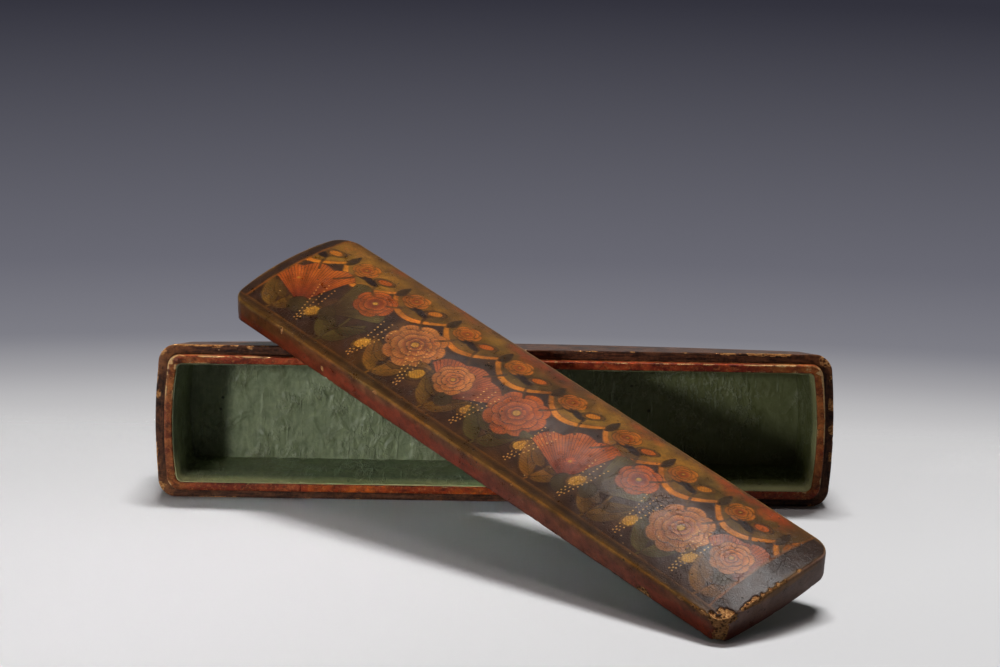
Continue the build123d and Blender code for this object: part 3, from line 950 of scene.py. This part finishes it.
def wall_sheet(name, a_of_depth, b):
    """A sheet on the wall: the mouth's outline between two places, at rows of depths from the floor up."""
    grids = []
    for inset in (LINING, CLEAR):
        columns = []
        for depth in np.linspace(FLOOR_DEPTH - LINING, LINING_MARGIN - COLLAR_HEIGHT, SHEET_ROWS):
            reach = inset
            if inset == LINING:
                x, y = mouth_ring(a_of_depth(depth), b, depth)
                still = np.stack([x, y, np.full(x.shape, -depth)], -1)
                reach = inset + paper_wrinkles(still) * smooth(0.0, 1.5, depth + COLLAR_HEIGHT)
            x, y = mouth_ring(a_of_depth(depth), b, depth, reach)
            columns.append(np.stack([x, y, np.full(x.shape, -depth)], -1))
        grids.append(np.stack(columns, 1))
    return sheet_mesh(name, *grids)


def side_sheet(name, side):
    """A long side's sheet; its columns run so that its front faces into the box."""
    run = np.linspace(-side, side, SHEET_COLUMNS) * LINING_REACH
    return wall_sheet(name, lambda depth: run / half_mouth(depth), np.full(SHEET_COLUMNS, side))


def end_sheet(name, end):
    """An end's sheet, which wraps round both corners to meet the long sheets."""
    wrap = np.linspace(0, 1, 24)
    corner = np.linspace(-1, 1, 100)[1:-1]
    b = np.concatenate([0 * wrap - 1, corner, 0 * wrap + 1]) * -end

    def a_of_depth(depth):
        cut = LINING_REACH / half_mouth(depth)
        return np.concatenate([blend(cut, 1, wrap), 0 * corner + 1, blend(1, cut, wrap)]) * end

    return wall_sheet(name, a_of_depth, b)


# Node trees
class Nodes:
    """Fills a node tree by short calls; a value may be a number, a colour or another node's output."""

    def __init__(self, tree):
        self.tree = tree

    def add(self, kind, sockets=None, **settings):
        node = self.tree.nodes.new(kind)
        for key, value in settings.items():
            setattr(node, key, value)
        for key, value in (sockets or {}).items():
            if isinstance(value, bpy.types.NodeSocket):
                self.tree.links.new(value, node.inputs[key])
            elif isinstance(value, np.ndarray):
                node.inputs[key].default_value = (*value, 1)
            else:
                node.inputs[key].default_value = value
        return node

    def attribute(self, name, output="Fac"):
        return self.add("ShaderNodeAttribute", attribute_name=name).outputs[output]

    def math(self, operation, *values):
        return self.add("ShaderNodeMath", dict(enumerate(values)), operation=operation).outputs[0]

    def fade(self, value, low, high):
        sockets = {"Value": value, "From Min": low, "From Max": high}
        return self.add("ShaderNodeMapRange", sockets, interpolation_type="SMOOTHSTEP").outputs[0]

    def stretch(self, position, scale):
        sockets = {0: position, 1: scale}
        return self.add("ShaderNodeVectorMath", sockets, operation="MULTIPLY").outputs[0]

    def noise(self, position, scale, detail=4.0, rough=0.55, twist=0.0):
        sockets = {"Vector": position, "Scale": scale, "Detail": detail, "Roughness": rough}
        return self.add("ShaderNodeTexNoise", {**sockets, "Distortion": twist}).outputs["Fac"]

    def cells(self, position, scale, feature="F1"):
        sockets = {"Vector": position, "Scale": scale}
        return self.add("ShaderNodeTexVoronoi", sockets, feature=feature).outputs["Distance"]

    def mix(self, share, first, second, kind="MIX"):
        sockets = {0: share, 6: first, 7: second}
        return self.add("ShaderNodeMix", sockets, data_type="RGBA", blend_type=kind).outputs[2]

    def bump(self, height, distance, strength=1.0):
        sockets = {"Height": height, "Distance": distance, "Strength": strength}
        return self.add("ShaderNodeBump", sockets).outputs[0]

    def group(self, tree, sockets):
        return self.add("ShaderNodeGroup", sockets, node_tree=tree).outputs


def new_group(name, inputs, outputs):
    """An empty node group with named inputs and outputs, each given as a label and a kind."""
    tree = bpy.data.node_groups.new(name, "ShaderNodeTree")
    for labels, way in ((inputs, "INPUT"), (outputs, "OUTPUT")):
        for label, kind in labels.items():
            tree.interface.new_socket(label, in_out=way, socket_type="NodeSocket" + kind)
    nodes = Nodes(tree)
    return tree, nodes, nodes.add("NodeGroupInput").outputs, nodes.add("NodeGroupOutput").inputs


def mottling_group():
    """Lightens and darkens a colour in soft clouds and fine grain."""
    inputs = {"Place": "Vector", "Colour": "Color", "Cloud size": "Float", "Strength": "Float"}
    tree, nodes, given, result = new_group("mottling", inputs, {"Colour": "Color", "Clouds": "Float"})
    inverse = nodes.math("DIVIDE", 1.0, given["Cloud size"])
    clouds = nodes.noise(given["Place"], inverse, 6.0, 0.62, 0.4)
    grain = nodes.noise(given["Place"], 2.2, 3.0, 0.6)
    mixed = nodes.math("ADD", nodes.math("MULTIPLY", clouds, 0.7), nodes.math("MULTIPLY", grain, 0.3))
    swing = nodes.math("MULTIPLY", nodes.math("SUBTRACT", mixed, 0.5), given["Strength"])
    factor = nodes.math("ADD", nodes.math("MULTIPLY", swing, 2.0), 1.0)
    scaled = nodes.add("ShaderNodeVectorMath", {0: given["Colour"], 3: factor}, operation="SCALE").outputs[0]
    nodes.tree.links.new(scaled, result["Colour"])
    nodes.tree.links.new(mixed, result["Clouds"])
    return tree


def specks_group():
    """Round specks: cells whose middle is near, kept where a slow noise is high."""
    inputs = {"Place": "Vector", "Spacing": "Float", "Size": "Float", "Share": "Float"}
    tree, nodes, given, result = new_group("specks", inputs, {"Mask": "Float"})
    inverse = nodes.math("DIVIDE", 1.0, given["Spacing"])
    near = nodes.cells(given["Place"], inverse)
    reach = nodes.math("DIVIDE", given["Size"], given["Spacing"])
    wobble = nodes.math("MULTIPLY", nodes.noise(given["Place"], 1.3, 3.0), reach)
    inside = nodes.fade(nodes.math("SUBTRACT", nodes.math("ADD", wobble, reach), near), 0.0, 0.06)
    patch = nodes.noise(given["Place"], nodes.math("MULTIPLY", inverse, 0.45), 2.0)
    kept = nodes.fade(nodes.math("ADD", patch, given["Share"]), 1.0, 1.06)
    nodes.tree.links.new(nodes.math("MULTIPLY", inside, kept), result["Mask"])
    return tree


def crackle_group():
    """A net of fine cracks, stronger in some places, from the edges of stretched cells."""
    inputs = {"Place": "Vector", "Size": "Float", "Share": "Float"}
    tree, nodes, given, result = new_group("crackle", inputs, {"Mask": "Float"})
    inverse = nodes.math("DIVIDE", 1.0, given["Size"])
    warp = nodes.add("ShaderNodeTexNoise", {"Vector": given["Place"], "Scale": 0.7}).outputs["Color"]
    bent = nodes.add("ShaderNodeVectorMath", {0: given["Place"], 1: warp}, operation="ADD").outputs[0]
    gap = nodes.cells(bent, inverse, "DISTANCE_TO_EDGE")
    line = nodes.fade(gap, 0.045, 0.0)
    patch = nodes.noise(given["Place"], 0.12, 3.0)
    kept = nodes.fade(nodes.math("ADD", patch, given["Share"]), 0.95, 1.1)
    nodes.tree.links.new(nodes.math("MULTIPLY", line, kept), result["Mask"])
    return tree


def board_group():
    """The pasteboard that shows where the lacquer is worn off: tan, fibrous and pitted."""
    inputs = {"Place": "Vector", "Worn": "Float"}
    outputs = {"Colour": "Color", "Mask": "Float", "Height": "Float"}
    tree, nodes, given, result = new_group("worn_board", inputs, outputs)
    fibres = nodes.noise(nodes.stretch(given["Place"], (0.5, 0.9, 2.4)), 1.6, 5.0, 0.7)
    pits = nodes.fade(nodes.cells(given["Place"], 0.7), 0.46, 0.22)
    tan_board = nodes.mix(nodes.fade(fibres, 0.36, 0.62), tint(150, 86, 40), tint(230, 172, 108))
    colour = nodes.mix(nodes.math("MULTIPLY", pits, 0.85), tan_board, tint(78, 40, 18))
    ragged = nodes.math("SUBTRACT", nodes.noise(given["Place"], 1.5, 5.0, 0.75), 0.5)
    ragged = nodes.math("MULTIPLY", ragged, 1.4)
    mask = nodes.fade(nodes.math("ADD", given["Worn"], ragged), 0.42, 0.58)
    height = nodes.math("MULTIPLY", nodes.math("SUBTRACT", fibres, pits), mask)
    nodes.tree.links.new(colour, result["Colour"])
    nodes.tree.links.new(mask, result["Mask"])
    nodes.tree.links.new(height, result["Height"])
    return tree


MOTTLING = mottling_group()
SPECKS = specks_group()
CRACKLE = crackle_group()
BOARD = board_group()


def new_material(name):
    material = bpy.data.materials.new(name)
    material.use_nodes = True
    material.node_tree.nodes.clear()
    return material, Nodes(material.node_tree)


def finish_material(nodes, sockets):
    """Ends a material in its shader: links vary over the surface, and plain numbers stay on the shader."""
    shader = nodes.add("ShaderNodeBsdfPrincipled", sockets)
    output = nodes.add("ShaderNodeOutputMaterial")
    nodes.tree.links.new(shader.outputs[0], output.inputs["Surface"])


def painted_lacquer():
    """The lid: painted and inked under aged varnish, with cracks, pits, flecks and bare board."""
    material, nodes = new_material("painted_lacquer")
    place = nodes.attribute("place", "Vector")
    wobble = nodes.math("MULTIPLY", nodes.math("SUBTRACT", nodes.noise(place, 0.9, 3.0), 0.5), 0.3)
    pressure = nodes.fade(nodes.noise(place, 0.35, 2.0), 0.25, 0.6)
    line = nodes.fade(nodes.math("ADD", nodes.attribute("ink"), wobble), 0.36, 0.12)
    line = nodes.math("MULTIPLY", line, nodes.math("ADD", nodes.math("MULTIPLY", pressure, 0.5), 0.3))
    phase = nodes.math("MULTIPLY", nodes.attribute("strokes"), 2 * pi)
    brush = nodes.fade(nodes.math("COSINE", nodes.math("ADD", phase, wobble)), 0.55, 1.0)
    brush = nodes.math("MULTIPLY", brush, nodes.attribute("stroke_amount"))
    dots = nodes.fade(nodes.math("ADD", nodes.attribute("dots"), wobble), 0.46, 0.26)
    paint = nodes.attribute("paint", "Color")
    mottled = nodes.group(MOTTLING, {"Place": place, "Colour": paint, "Cloud size": 5.0, "Strength": 1.0})
    colour = nodes.mix(brush, mottled["Colour"], tint(84, 34, 18))
    colour = nodes.mix(line, colour, tint(46, 24, 14))
    colour = nodes.mix(nodes.math("MULTIPLY", dots, 0.85), colour, tint(222, 176, 98))
    varnish = nodes.fade(nodes.noise(place, 0.06, 5.0, 0.6), 0.3, 0.7)
    varnish = nodes.math("ADD", nodes.math("MULTIPLY", varnish, 0.5), 0.25)
    colour = nodes.mix(varnish, colour, tint(255, 216, 150), "MULTIPLY")
    darkened = nodes.fade(nodes.noise(place, 0.11, 5.0, 0.65, 0.8), 0.52, 0.78)
    colour = nodes.mix(nodes.math("MULTIPLY", darkened, 0.45), colour, tint(50, 30, 18))
    smudged = nodes.fade(nodes.noise(place, 0.45, 6.0, 0.75), 0.5, 0.7)
    colour = nodes.mix(nodes.math("MULTIPLY", smudged, 0.45), colour, tint(62, 36, 22))
    grime = nodes.fade(nodes.noise(place, 1.6, 3.0, 0.6), 0.55, 0.72)
    colour = nodes.mix(nodes.math("MULTIPLY", grime, 0.4), colour, tint(44, 28, 20))
    crack = nodes.group(CRACKLE, {"Place": place, "Size": 1.9, "Share": 0.46})["Mask"]
    colour = nodes.mix(nodes.math("MULTIPLY", crack, 0.55), colour, tint(26, 16, 12))
    pits = nodes.group(SPECKS, {"Place": place, "Spacing": 3.4, "Size": 0.34, "Share": 0.5})["Mask"]
    colour = nodes.mix(nodes.math("MULTIPLY", pits, 0.75), colour, tint(30, 18, 14))
    fleck_place = nodes.stretch(place, (1.0, 1.3, 1.0))
    flecks = nodes.group(SPECKS, {"Place": fleck_place, "Spacing": 5.2, "Size": 0.34, "Share": 0.46})["Mask"]
    colour = nodes.mix(nodes.math("MULTIPLY", flecks, 0.6), colour, tint(198, 160, 110))
    board = nodes.group(BOARD, {"Place": place, "Worn": nodes.attribute("bare")})
    colour = nodes.mix(board["Mask"], colour, board["Colour"])
    stipple = nodes.noise(place, 1.7, 3.0, 0.6)
    height = nodes.math("SUBTRACT", stipple, nodes.math("ADD", crack, pits))
    height = nodes.math("ADD", height, nodes.math("MULTIPLY", line, 0.2))
    height = nodes.math("ADD", height, nodes.math("MULTIPLY", board["Height"], 7.0))
    gloss = nodes.math("ADD", nodes.math("MULTIPLY", mottled["Clouds"], 0.3), 0.16)
    rough = nodes.math("ADD", gloss, nodes.math("MULTIPLY", board["Mask"], 0.5))
    sockets = {"Base Color": colour, "Roughness": rough, "Normal": nodes.bump(height, 0.00008), "IOR": 1.5}
    finish_material(nodes, sockets)
    return material


def body_lacquer():
    """The base: brown lacquer streaked along its edge, thin at its corners, cracked, flecked and worn."""
    material, nodes = new_material("body_lacquer")
    place = nodes.attribute("place", "Vector")
    inwards = nodes.add("ShaderNodeCombineXYZ", {2: nodes.attribute("from_edge")}).outputs[0]
    along = nodes.stretch(place, (0.1, 0.1, 0.1))
    along = nodes.add("ShaderNodeVectorMath", {0: along, 1: inwards}, operation="ADD").outputs[0]
    streaks = nodes.noise(along, 1.1, 5.0, 0.65)
    blotches = nodes.noise(place, 0.7, 5.0, 0.7)
    tone = nodes.math("ADD", nodes.math("MULTIPLY", streaks, 0.6), nodes.math("MULTIPLY", blotches, 0.4))
    colour = nodes.mix(nodes.fade(tone, 0.38, 0.64), tint(38, 20, 14), tint(116, 72, 48))
    thin = nodes.noise(place, 0.6, 5.0, 0.7)
    washed = nodes.math("MULTIPLY", nodes.attribute("washed"), nodes.fade(thin, 0.3, 0.6))
    colour = nodes.mix(washed, colour, tint(146, 92, 54))
    mottled = nodes.group(MOTTLING, {"Place": place, "Colour": colour, "Cloud size": 6.0, "Strength": 0.8})
    crack_place = nodes.stretch(place, (0.4, 1, 1))
    crack = nodes.group(CRACKLE, {"Place": crack_place, "Size": 1.6, "Share": 0.5})["Mask"]
    colour = nodes.mix(nodes.math("MULTIPLY", crack, 0.5), mottled["Colour"], tint(18, 12, 10))
    flecks = nodes.group(SPECKS, {"Place": place, "Spacing": 3.6, "Size": 0.32, "Share": 0.44})["Mask"]
    colour = nodes.mix(nodes.math("MULTIPLY", flecks, 0.8), colour, tint(196, 164, 128))
    board = nodes.group(BOARD, {"Place": place, "Worn": nodes.attribute("bare")})
    colour = nodes.mix(board["Mask"], colour, board["Colour"])
    height = nodes.math("SUBTRACT", nodes.noise(place, 1.3, 4.0, 0.65), crack)
    height = nodes.math("ADD", height, board["Height"])
    gloss = nodes.math("ADD", nodes.math("MULTIPLY", mottled["Clouds"], 0.3), 0.2)
    rough = nodes.math("ADD", gloss, nodes.math("MULTIPLY", board["Mask"], 0.45))
    sockets = {"Base Color": colour, "Roughness": rough, "Normal": nodes.bump(height, 0.00012)}
    finish_material(nodes, {**sockets, "Specular IOR Level": 0.3})
    return material


def collar_lacquer():
    """The collar: red lacquer over pale board, rubbed at its edges and stained in the middle."""
    material, nodes = new_material("collar_lacquer")
    place = nodes.attribute("place", "Vector")
    paint = nodes.attribute("paint", "Color")
    mottled = nodes.group(MOTTLING, {"Place": place, "Colour": paint, "Cloud size": 2.5, "Strength": 1.5})
    thin = nodes.fade(nodes.noise(place, 0.7, 5.0, 0.75), 0.5, 0.64)
    colour = nodes.mix(nodes.math("MULTIPLY", thin, 0.6), mottled["Colour"], tint(206, 128, 72))
    stains = nodes.fade(nodes.noise(nodes.stretch(place, (0.6, 1.0, 1.0)), 0.6, 5.0, 0.75), 0.5, 0.64)
    colour = nodes.mix(nodes.math("MULTIPLY", stains, 0.6), colour, tint(52, 22, 12))
    board = nodes.group(BOARD, {"Place": place, "Worn": nodes.attribute("bare")})
    pale_board = nodes.mix(0.6, board["Colour"], tint(244, 206, 148))
    colour = nodes.mix(board["Mask"], colour, pale_board)
    height = nodes.math("ADD", nodes.noise(place, 1.5, 4.0, 0.6), board["Height"])
    gloss = nodes.math("ADD", nodes.math("MULTIPLY", mottled["Clouds"], 0.3), 0.22)
    rough = nodes.math("ADD", gloss, nodes.math("MULTIPLY", board["Mask"], 0.4))
    sockets = {"Base Color": colour, "Roughness": rough, "Normal": nodes.bump(height, 0.0001)}
    finish_material(nodes, {**sockets, "Specular IOR Level": 0.35})
    return material


def green_paper(name, own_place):
    """Green painted paper: blotched, with pale drips and dark spots; painted shade makes it darker and yellower
    to the right, its creases are lightened as painted highlights, painted light makes it paler near the mouth,
    and painted shade browns its top edge.
    """
    material, nodes = new_material(name)
    if own_place:
        place = nodes.attribute("place", "Vector")
    else:
        object_place = nodes.add("ShaderNodeTexCoord").outputs["Object"]
        place = nodes.stretch(object_place, (1000, 1000, 1000))
    blotches = nodes.noise(place, 0.22, 6.0, 0.68, 0.5)
    streaks = nodes.noise(nodes.stretch(place, (1.0, 0.14, 0.14)), 0.8, 5.0, 0.65)
    tone = nodes.math("ADD", nodes.math("MULTIPLY", blotches, 0.7), nodes.math("MULTIPLY", streaks, 0.3))
    colour = nodes.mix(nodes.fade(tone, 0.3, 0.7), tint(104, 115, 84), tint(140, 150, 114))
    mottled = nodes.group(MOTTLING, {"Place": place, "Colour": colour, "Cloud size": 6.0, "Strength": 0.4})
    stains = nodes.fade(nodes.noise(place, 0.09, 4.0, 0.6), 0.5, 0.75)
    colour = nodes.mix(nodes.math("MULTIPLY", stains, 0.4), mottled["Colour"], tint(92, 92, 56))
    # Darker and yellower towards the right: painted shade, where the lid's shadow falls inside the box.
    along = nodes.add("ShaderNodeSeparateXYZ", {0: place}).outputs["X"]
    painted_shade_right = nodes.math("MULTIPLY", nodes.fade(along, -10.0, 80.0), 0.65)
    colour = nodes.mix(painted_shade_right, colour, tint(90, 92, 36))
    drips = nodes.fade(nodes.noise(nodes.stretch(place, (0.5, 0.06, 0.06)), 1.0, 4.0, 0.6), 0.6, 0.7)
    colour = nodes.mix(nodes.math("MULTIPLY", drips, 0.45), colour, tint(176, 186, 152))
    bend = nodes.noise(nodes.stretch(place, (1.0, 0.6, 0.6)), 0.2, 5.0, 0.62)
    bend = nodes.math("ABSOLUTE", nodes.math("SUBTRACT", bend, 0.5))
    crumpled = nodes.fade(nodes.noise(place, 0.045, 3.0), 0.44, 0.56)
    crease_and_glint = nodes.math("MULTIPLY", nodes.fade(bend, 0.035, 0.0), crumpled)
    # Lighter creases: a painted highlight where the creases catch light; the same mask raises their relief below.
    colour = nodes.mix(nodes.math("MULTIPLY", crease_and_glint, 0.3), colour, tint(186, 194, 164))
    # Paler near the mouth, from the 'rubbed' layer: painted light falling into the box.
    rubbed = nodes.math("MULTIPLY", nodes.attribute("rubbed"), nodes.fade(blotches, 0.1, 0.45))
    colour = nodes.mix(nodes.math("MULTIPLY", rubbed, 0.9), colour, tint(226, 228, 168))
    spots = nodes.group(SPECKS, {"Place": place, "Spacing": 8.0, "Size": 0.55, "Share": 0.5})["Mask"]
    colour = nodes.mix(nodes.math("MULTIPLY", spots, 0.85), colour, tint(34, 38, 22))
    # Browner along the paper's top edge by the collar, from the 'cut' layer: painted shade in the joint.
    colour = nodes.mix(nodes.math("MULTIPLY", nodes.attribute("cut"), 0.15), colour, tint(130, 116, 72))
    wrinkles = nodes.noise(nodes.stretch(place, (1.0, 0.6, 0.6)), 0.32, 2.0, 0.45, 0.6)
    relief = nodes.math("MULTIPLY", wrinkles, nodes.math("ADD", nodes.math("MULTIPLY", crumpled, 0.9), 0.35))
    relief = nodes.math("ADD", relief, nodes.math("MULTIPLY", nodes.math("ADD", crease_and_glint, drips), 0.2))
    shine = nodes.math("MULTIPLY", crumpled, -0.14)
    rough = nodes.math("ADD", nodes.math("MULTIPLY", mottled["Clouds"], 0.2), nodes.math("ADD", shine, 0.45))
    sockets = {"Base Color": colour, "Roughness": rough, "Normal": nodes.bump(relief, 0.001)}
    finish_material(nodes, {**sockets, "Specular IOR Level": 0.45})
    return material


# The pieces of the box
LID_MATERIAL = painted_lacquer()
BODY_MATERIAL = body_lacquer()
COLLAR_MATERIAL = collar_lacquer()
PAPER = green_paper("green_paper", True)
LID_PAPER = green_paper("green_paper_of_lid", False)

add_piece(lid_shell(), LID_MATERIAL, "lid", "lid_lacquer", "lid_shell")
add_piece(base_shell(), BODY_MATERIAL, "base", "body_lacquer", "base_shell")
for strip in COLLAR_STRIPS:
    add_piece(collar_strip(strip), COLLAR_MATERIAL, "base", "collar_lacquer", strip)
SHEETS = {
    "base_floor_lining": floor_sheet(),
    "base_upper_side_lining": side_sheet("base_upper_paper", 1),
    "base_lower_side_lining": side_sheet("base_lower_paper", -1),
    "base_left_end_lining": end_sheet("base_left_paper", -1),
    "base_right_end_lining": end_sheet("base_right_paper", 1),
}
for lining, sheet in SHEETS.items():
    add_piece(sheet, PAPER, "base", "lining_paper", lining)
for node_name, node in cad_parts.items():
    if node_name.startswith("lid_") and node_name.endswith("_lining"):
        node.data.materials.clear()
        node.data.materials.append(LID_PAPER)

# The floor, which darkens a little and then fades out behind the box, each between two places
# along Y in metres, and throws back only a part of its light
FLOOR_SIZE = 6.0
FLOOR_COLOUR = tint(232, 232, 233)
FLOOR_BOUNCE = 0.26
FLOOR_BACK = 0.86
FLOOR_DARKENS = (-0.09, 0.06)
FLOOR_ENDS = (0.10, 0.03)


def floor():
    corners = np.array([[-1, -1, 0], [1, -1, 0], [1, 1, 0], [-1, 1, 0]]) * FLOOR_SIZE / 2 / MM
    mesh = new_mesh("floor", corners, np.array([[0, 1, 2, 3]]))
    piece = bpy.data.objects.new("floor", mesh)
    bpy.context.scene.collection.objects.link(piece)
    material, nodes = new_material("pale_floor")
    place = nodes.add("ShaderNodeTexCoord").outputs["Object"]
    back = nodes.add("ShaderNodeSeparateXYZ", {0: place}).outputs["Y"]
    solid = nodes.fade(back, *FLOOR_ENDS)
    seen = nodes.add("ShaderNodeLightPath").outputs["Is Camera Ray"]
    shown = nodes.mix(nodes.fade(back, *FLOOR_DARKENS), FLOOR_COLOUR, FLOOR_COLOUR * FLOOR_BACK)
    colour = nodes.mix(seen, FLOOR_COLOUR * FLOOR_BOUNCE, shown)
    finish_material(nodes, {"Base Color": colour, "Roughness": 0.75, "Alpha": solid})
    mesh.materials.append(material)


floor()

# Studio light: a far lamp behind and above, a soft box overhead in front, one low at the front left, and a
# reflector for the sheen, each with its place, size, power, the point that it aims at, how many degrees
# it spreads over, its colour and what it acts on
WHITE = (1.0, 1.0, 1.0)
WARM = (1.0, 0.88, 0.86)
LIGHTS = {
    "key_light": ((0.14, 0.80, 2.84), (1.2, 0.2), 73.0, (0.02, -0.05, 0.02), 180, WHITE, "diffuse"),
    "overhead_light": ((0.0, -0.24, 1.5), (0.5, 0.16), 1.9, (0.0, -0.02, 0.03), 180, WARM, "both"),
    "side_light": ((-0.88, -1.2, 0.42), (0.2, 0.22), 0.084, (-0.06, -0.03, 0.03), 13, WHITE, "both"),
    "sheen_light": ((0.24, 0.34, 1.45), (0.42, 0.28), 5.0, (0.09, -0.13, 0.03), 180, WHITE, "glossy"),
}
SURROUND = 0.02
REAR_GLOW = 0.2


def soft_box(name, place, size, power, aim, spread, colour, acts_on):
    light = bpy.data.lights.new(name, "AREA")
    light.shape = "RECTANGLE"
    light.size, light.size_y = size
    light.energy = power
    light.color = colour
    light.spread = radians(spread)
    lamp = bpy.data.objects.new(name, light)
    turn = (Vector(aim) - Vector(place)).to_track_quat("-Z", "Y").to_matrix().to_4x4()
    lamp.matrix_world = Matrix.Translation(place) @ turn
    lamp.visible_glossy = acts_on != "diffuse"
    lamp.visible_diffuse = acts_on != "glossy"
    bpy.context.scene.collection.objects.link(lamp)


for light_name, light_values in LIGHTS.items():
    soft_box(light_name, *light_values)

# The backdrop's tones, each as the sine of how far it lies below the horizon and its grey
BACKDROP = [
    (0.19, (50, 50, 60)),
    (0.26, (105, 105, 115)),
    (0.28, (126, 126, 134)),
    (0.289, (161, 160, 164)),
    (0.2955, (185, 184, 186)),
    (0.302, (200, 199, 200)),
    (0.34, (225, 225, 225)),
]


def surroundings():
    """The backdrop as the camera sees it; for all other rays a dim room that glows low down behind."""
    world = bpy.data.worlds.new("studio")
    world.use_nodes = True
    world.node_tree.nodes.clear()
    nodes = Nodes(world.node_tree)
    way = nodes.add("ShaderNodeTexCoord").outputs["Generated"]
    way_parts = nodes.add("ShaderNodeSeparateXYZ", {0: way}).outputs
    rise = way_parts["Z"]
    tones = nodes.add("ShaderNodeValToRGB", {0: nodes.math("MULTIPLY", rise, -2.0)})
    ramp = tones.color_ramp
    ramp.interpolation = "LINEAR"
    for number, (sine, grey) in enumerate(BACKDROP):
        stop = ramp.elements[0] if number == 0 else ramp.elements.new(sine * 2)
        stop.position = sine * 2
        stop.color = tuple(tint(*grey)) + (1,)
    while len(ramp.elements) > len(BACKDROP):
        ramp.elements.remove(ramp.elements[-1])
    seen = nodes.add("ShaderNodeLightPath").outputs["Is Camera Ray"]
    shown = {"Color": tones.outputs["Color"], "Strength": 1.0}
    backdrop = nodes.add("ShaderNodeBackground", shown).outputs[0]
    low_down = nodes.fade(rise, 0.75, 0.35)
    behind = nodes.math("MULTIPLY", nodes.fade(way_parts["Y"], -0.15, 0.5), low_down)
    glow = nodes.math("ADD", nodes.math("MULTIPLY", behind, REAR_GLOW), SURROUND)
    room = nodes.add("ShaderNodeBackground", {"Color": (1.0, 1.0, 1.0, 1.0), "Strength": glow}).outputs[0]
    either = nodes.add("ShaderNodeMixShader", {0: seen, 1: room, 2: backdrop}).outputs[0]
    nodes.add("ShaderNodeOutputWorld", {"Surface": either})
    bpy.context.scene.world = world


surroundings()

# The camera, aimed at a point above the middle of the base
CAMERA_TARGET = Vector((1.304, -14.6, 64.854)) * MM
CAMERA_DISTANCE = 1340.753 * MM
CAMERA_TURN = radians(-0.482)
CAMERA_RISE = radians(16.222)
CAMERA_ROLL = radians(1.074)
FOCAL_LENGTH = 132.25


def add_camera():
    back = Vector((
        sin(CAMERA_TURN) * cos(CAMERA_RISE), -cos(CAMERA_TURN) * cos(CAMERA_RISE), sin(CAMERA_RISE),
    ))
    right = Vector((cos(CAMERA_TURN), sin(CAMERA_TURN), 0))
    up = back.cross(right)
    turned_right = right * cos(CAMERA_ROLL) + up * sin(CAMERA_ROLL)
    turned_up = up * cos(CAMERA_ROLL) - right * sin(CAMERA_ROLL)
    spot = CAMERA_TARGET + back * CAMERA_DISTANCE
    data = bpy.data.cameras.new("camera")
    data.lens = FOCAL_LENGTH
    data.sensor_width = 36.0
    data.clip_end = 20.0
    camera = bpy.data.objects.new("camera", data)
    camera.matrix_world = Matrix((turned_right, turned_up, back)).transposed().to_4x4()
    camera.matrix_world.translation = spot
    bpy.context.scene.collection.objects.link(camera)
    bpy.context.scene.camera = camera


add_camera()
bpy.context.scene.view_settings.view_transform = "Standard"
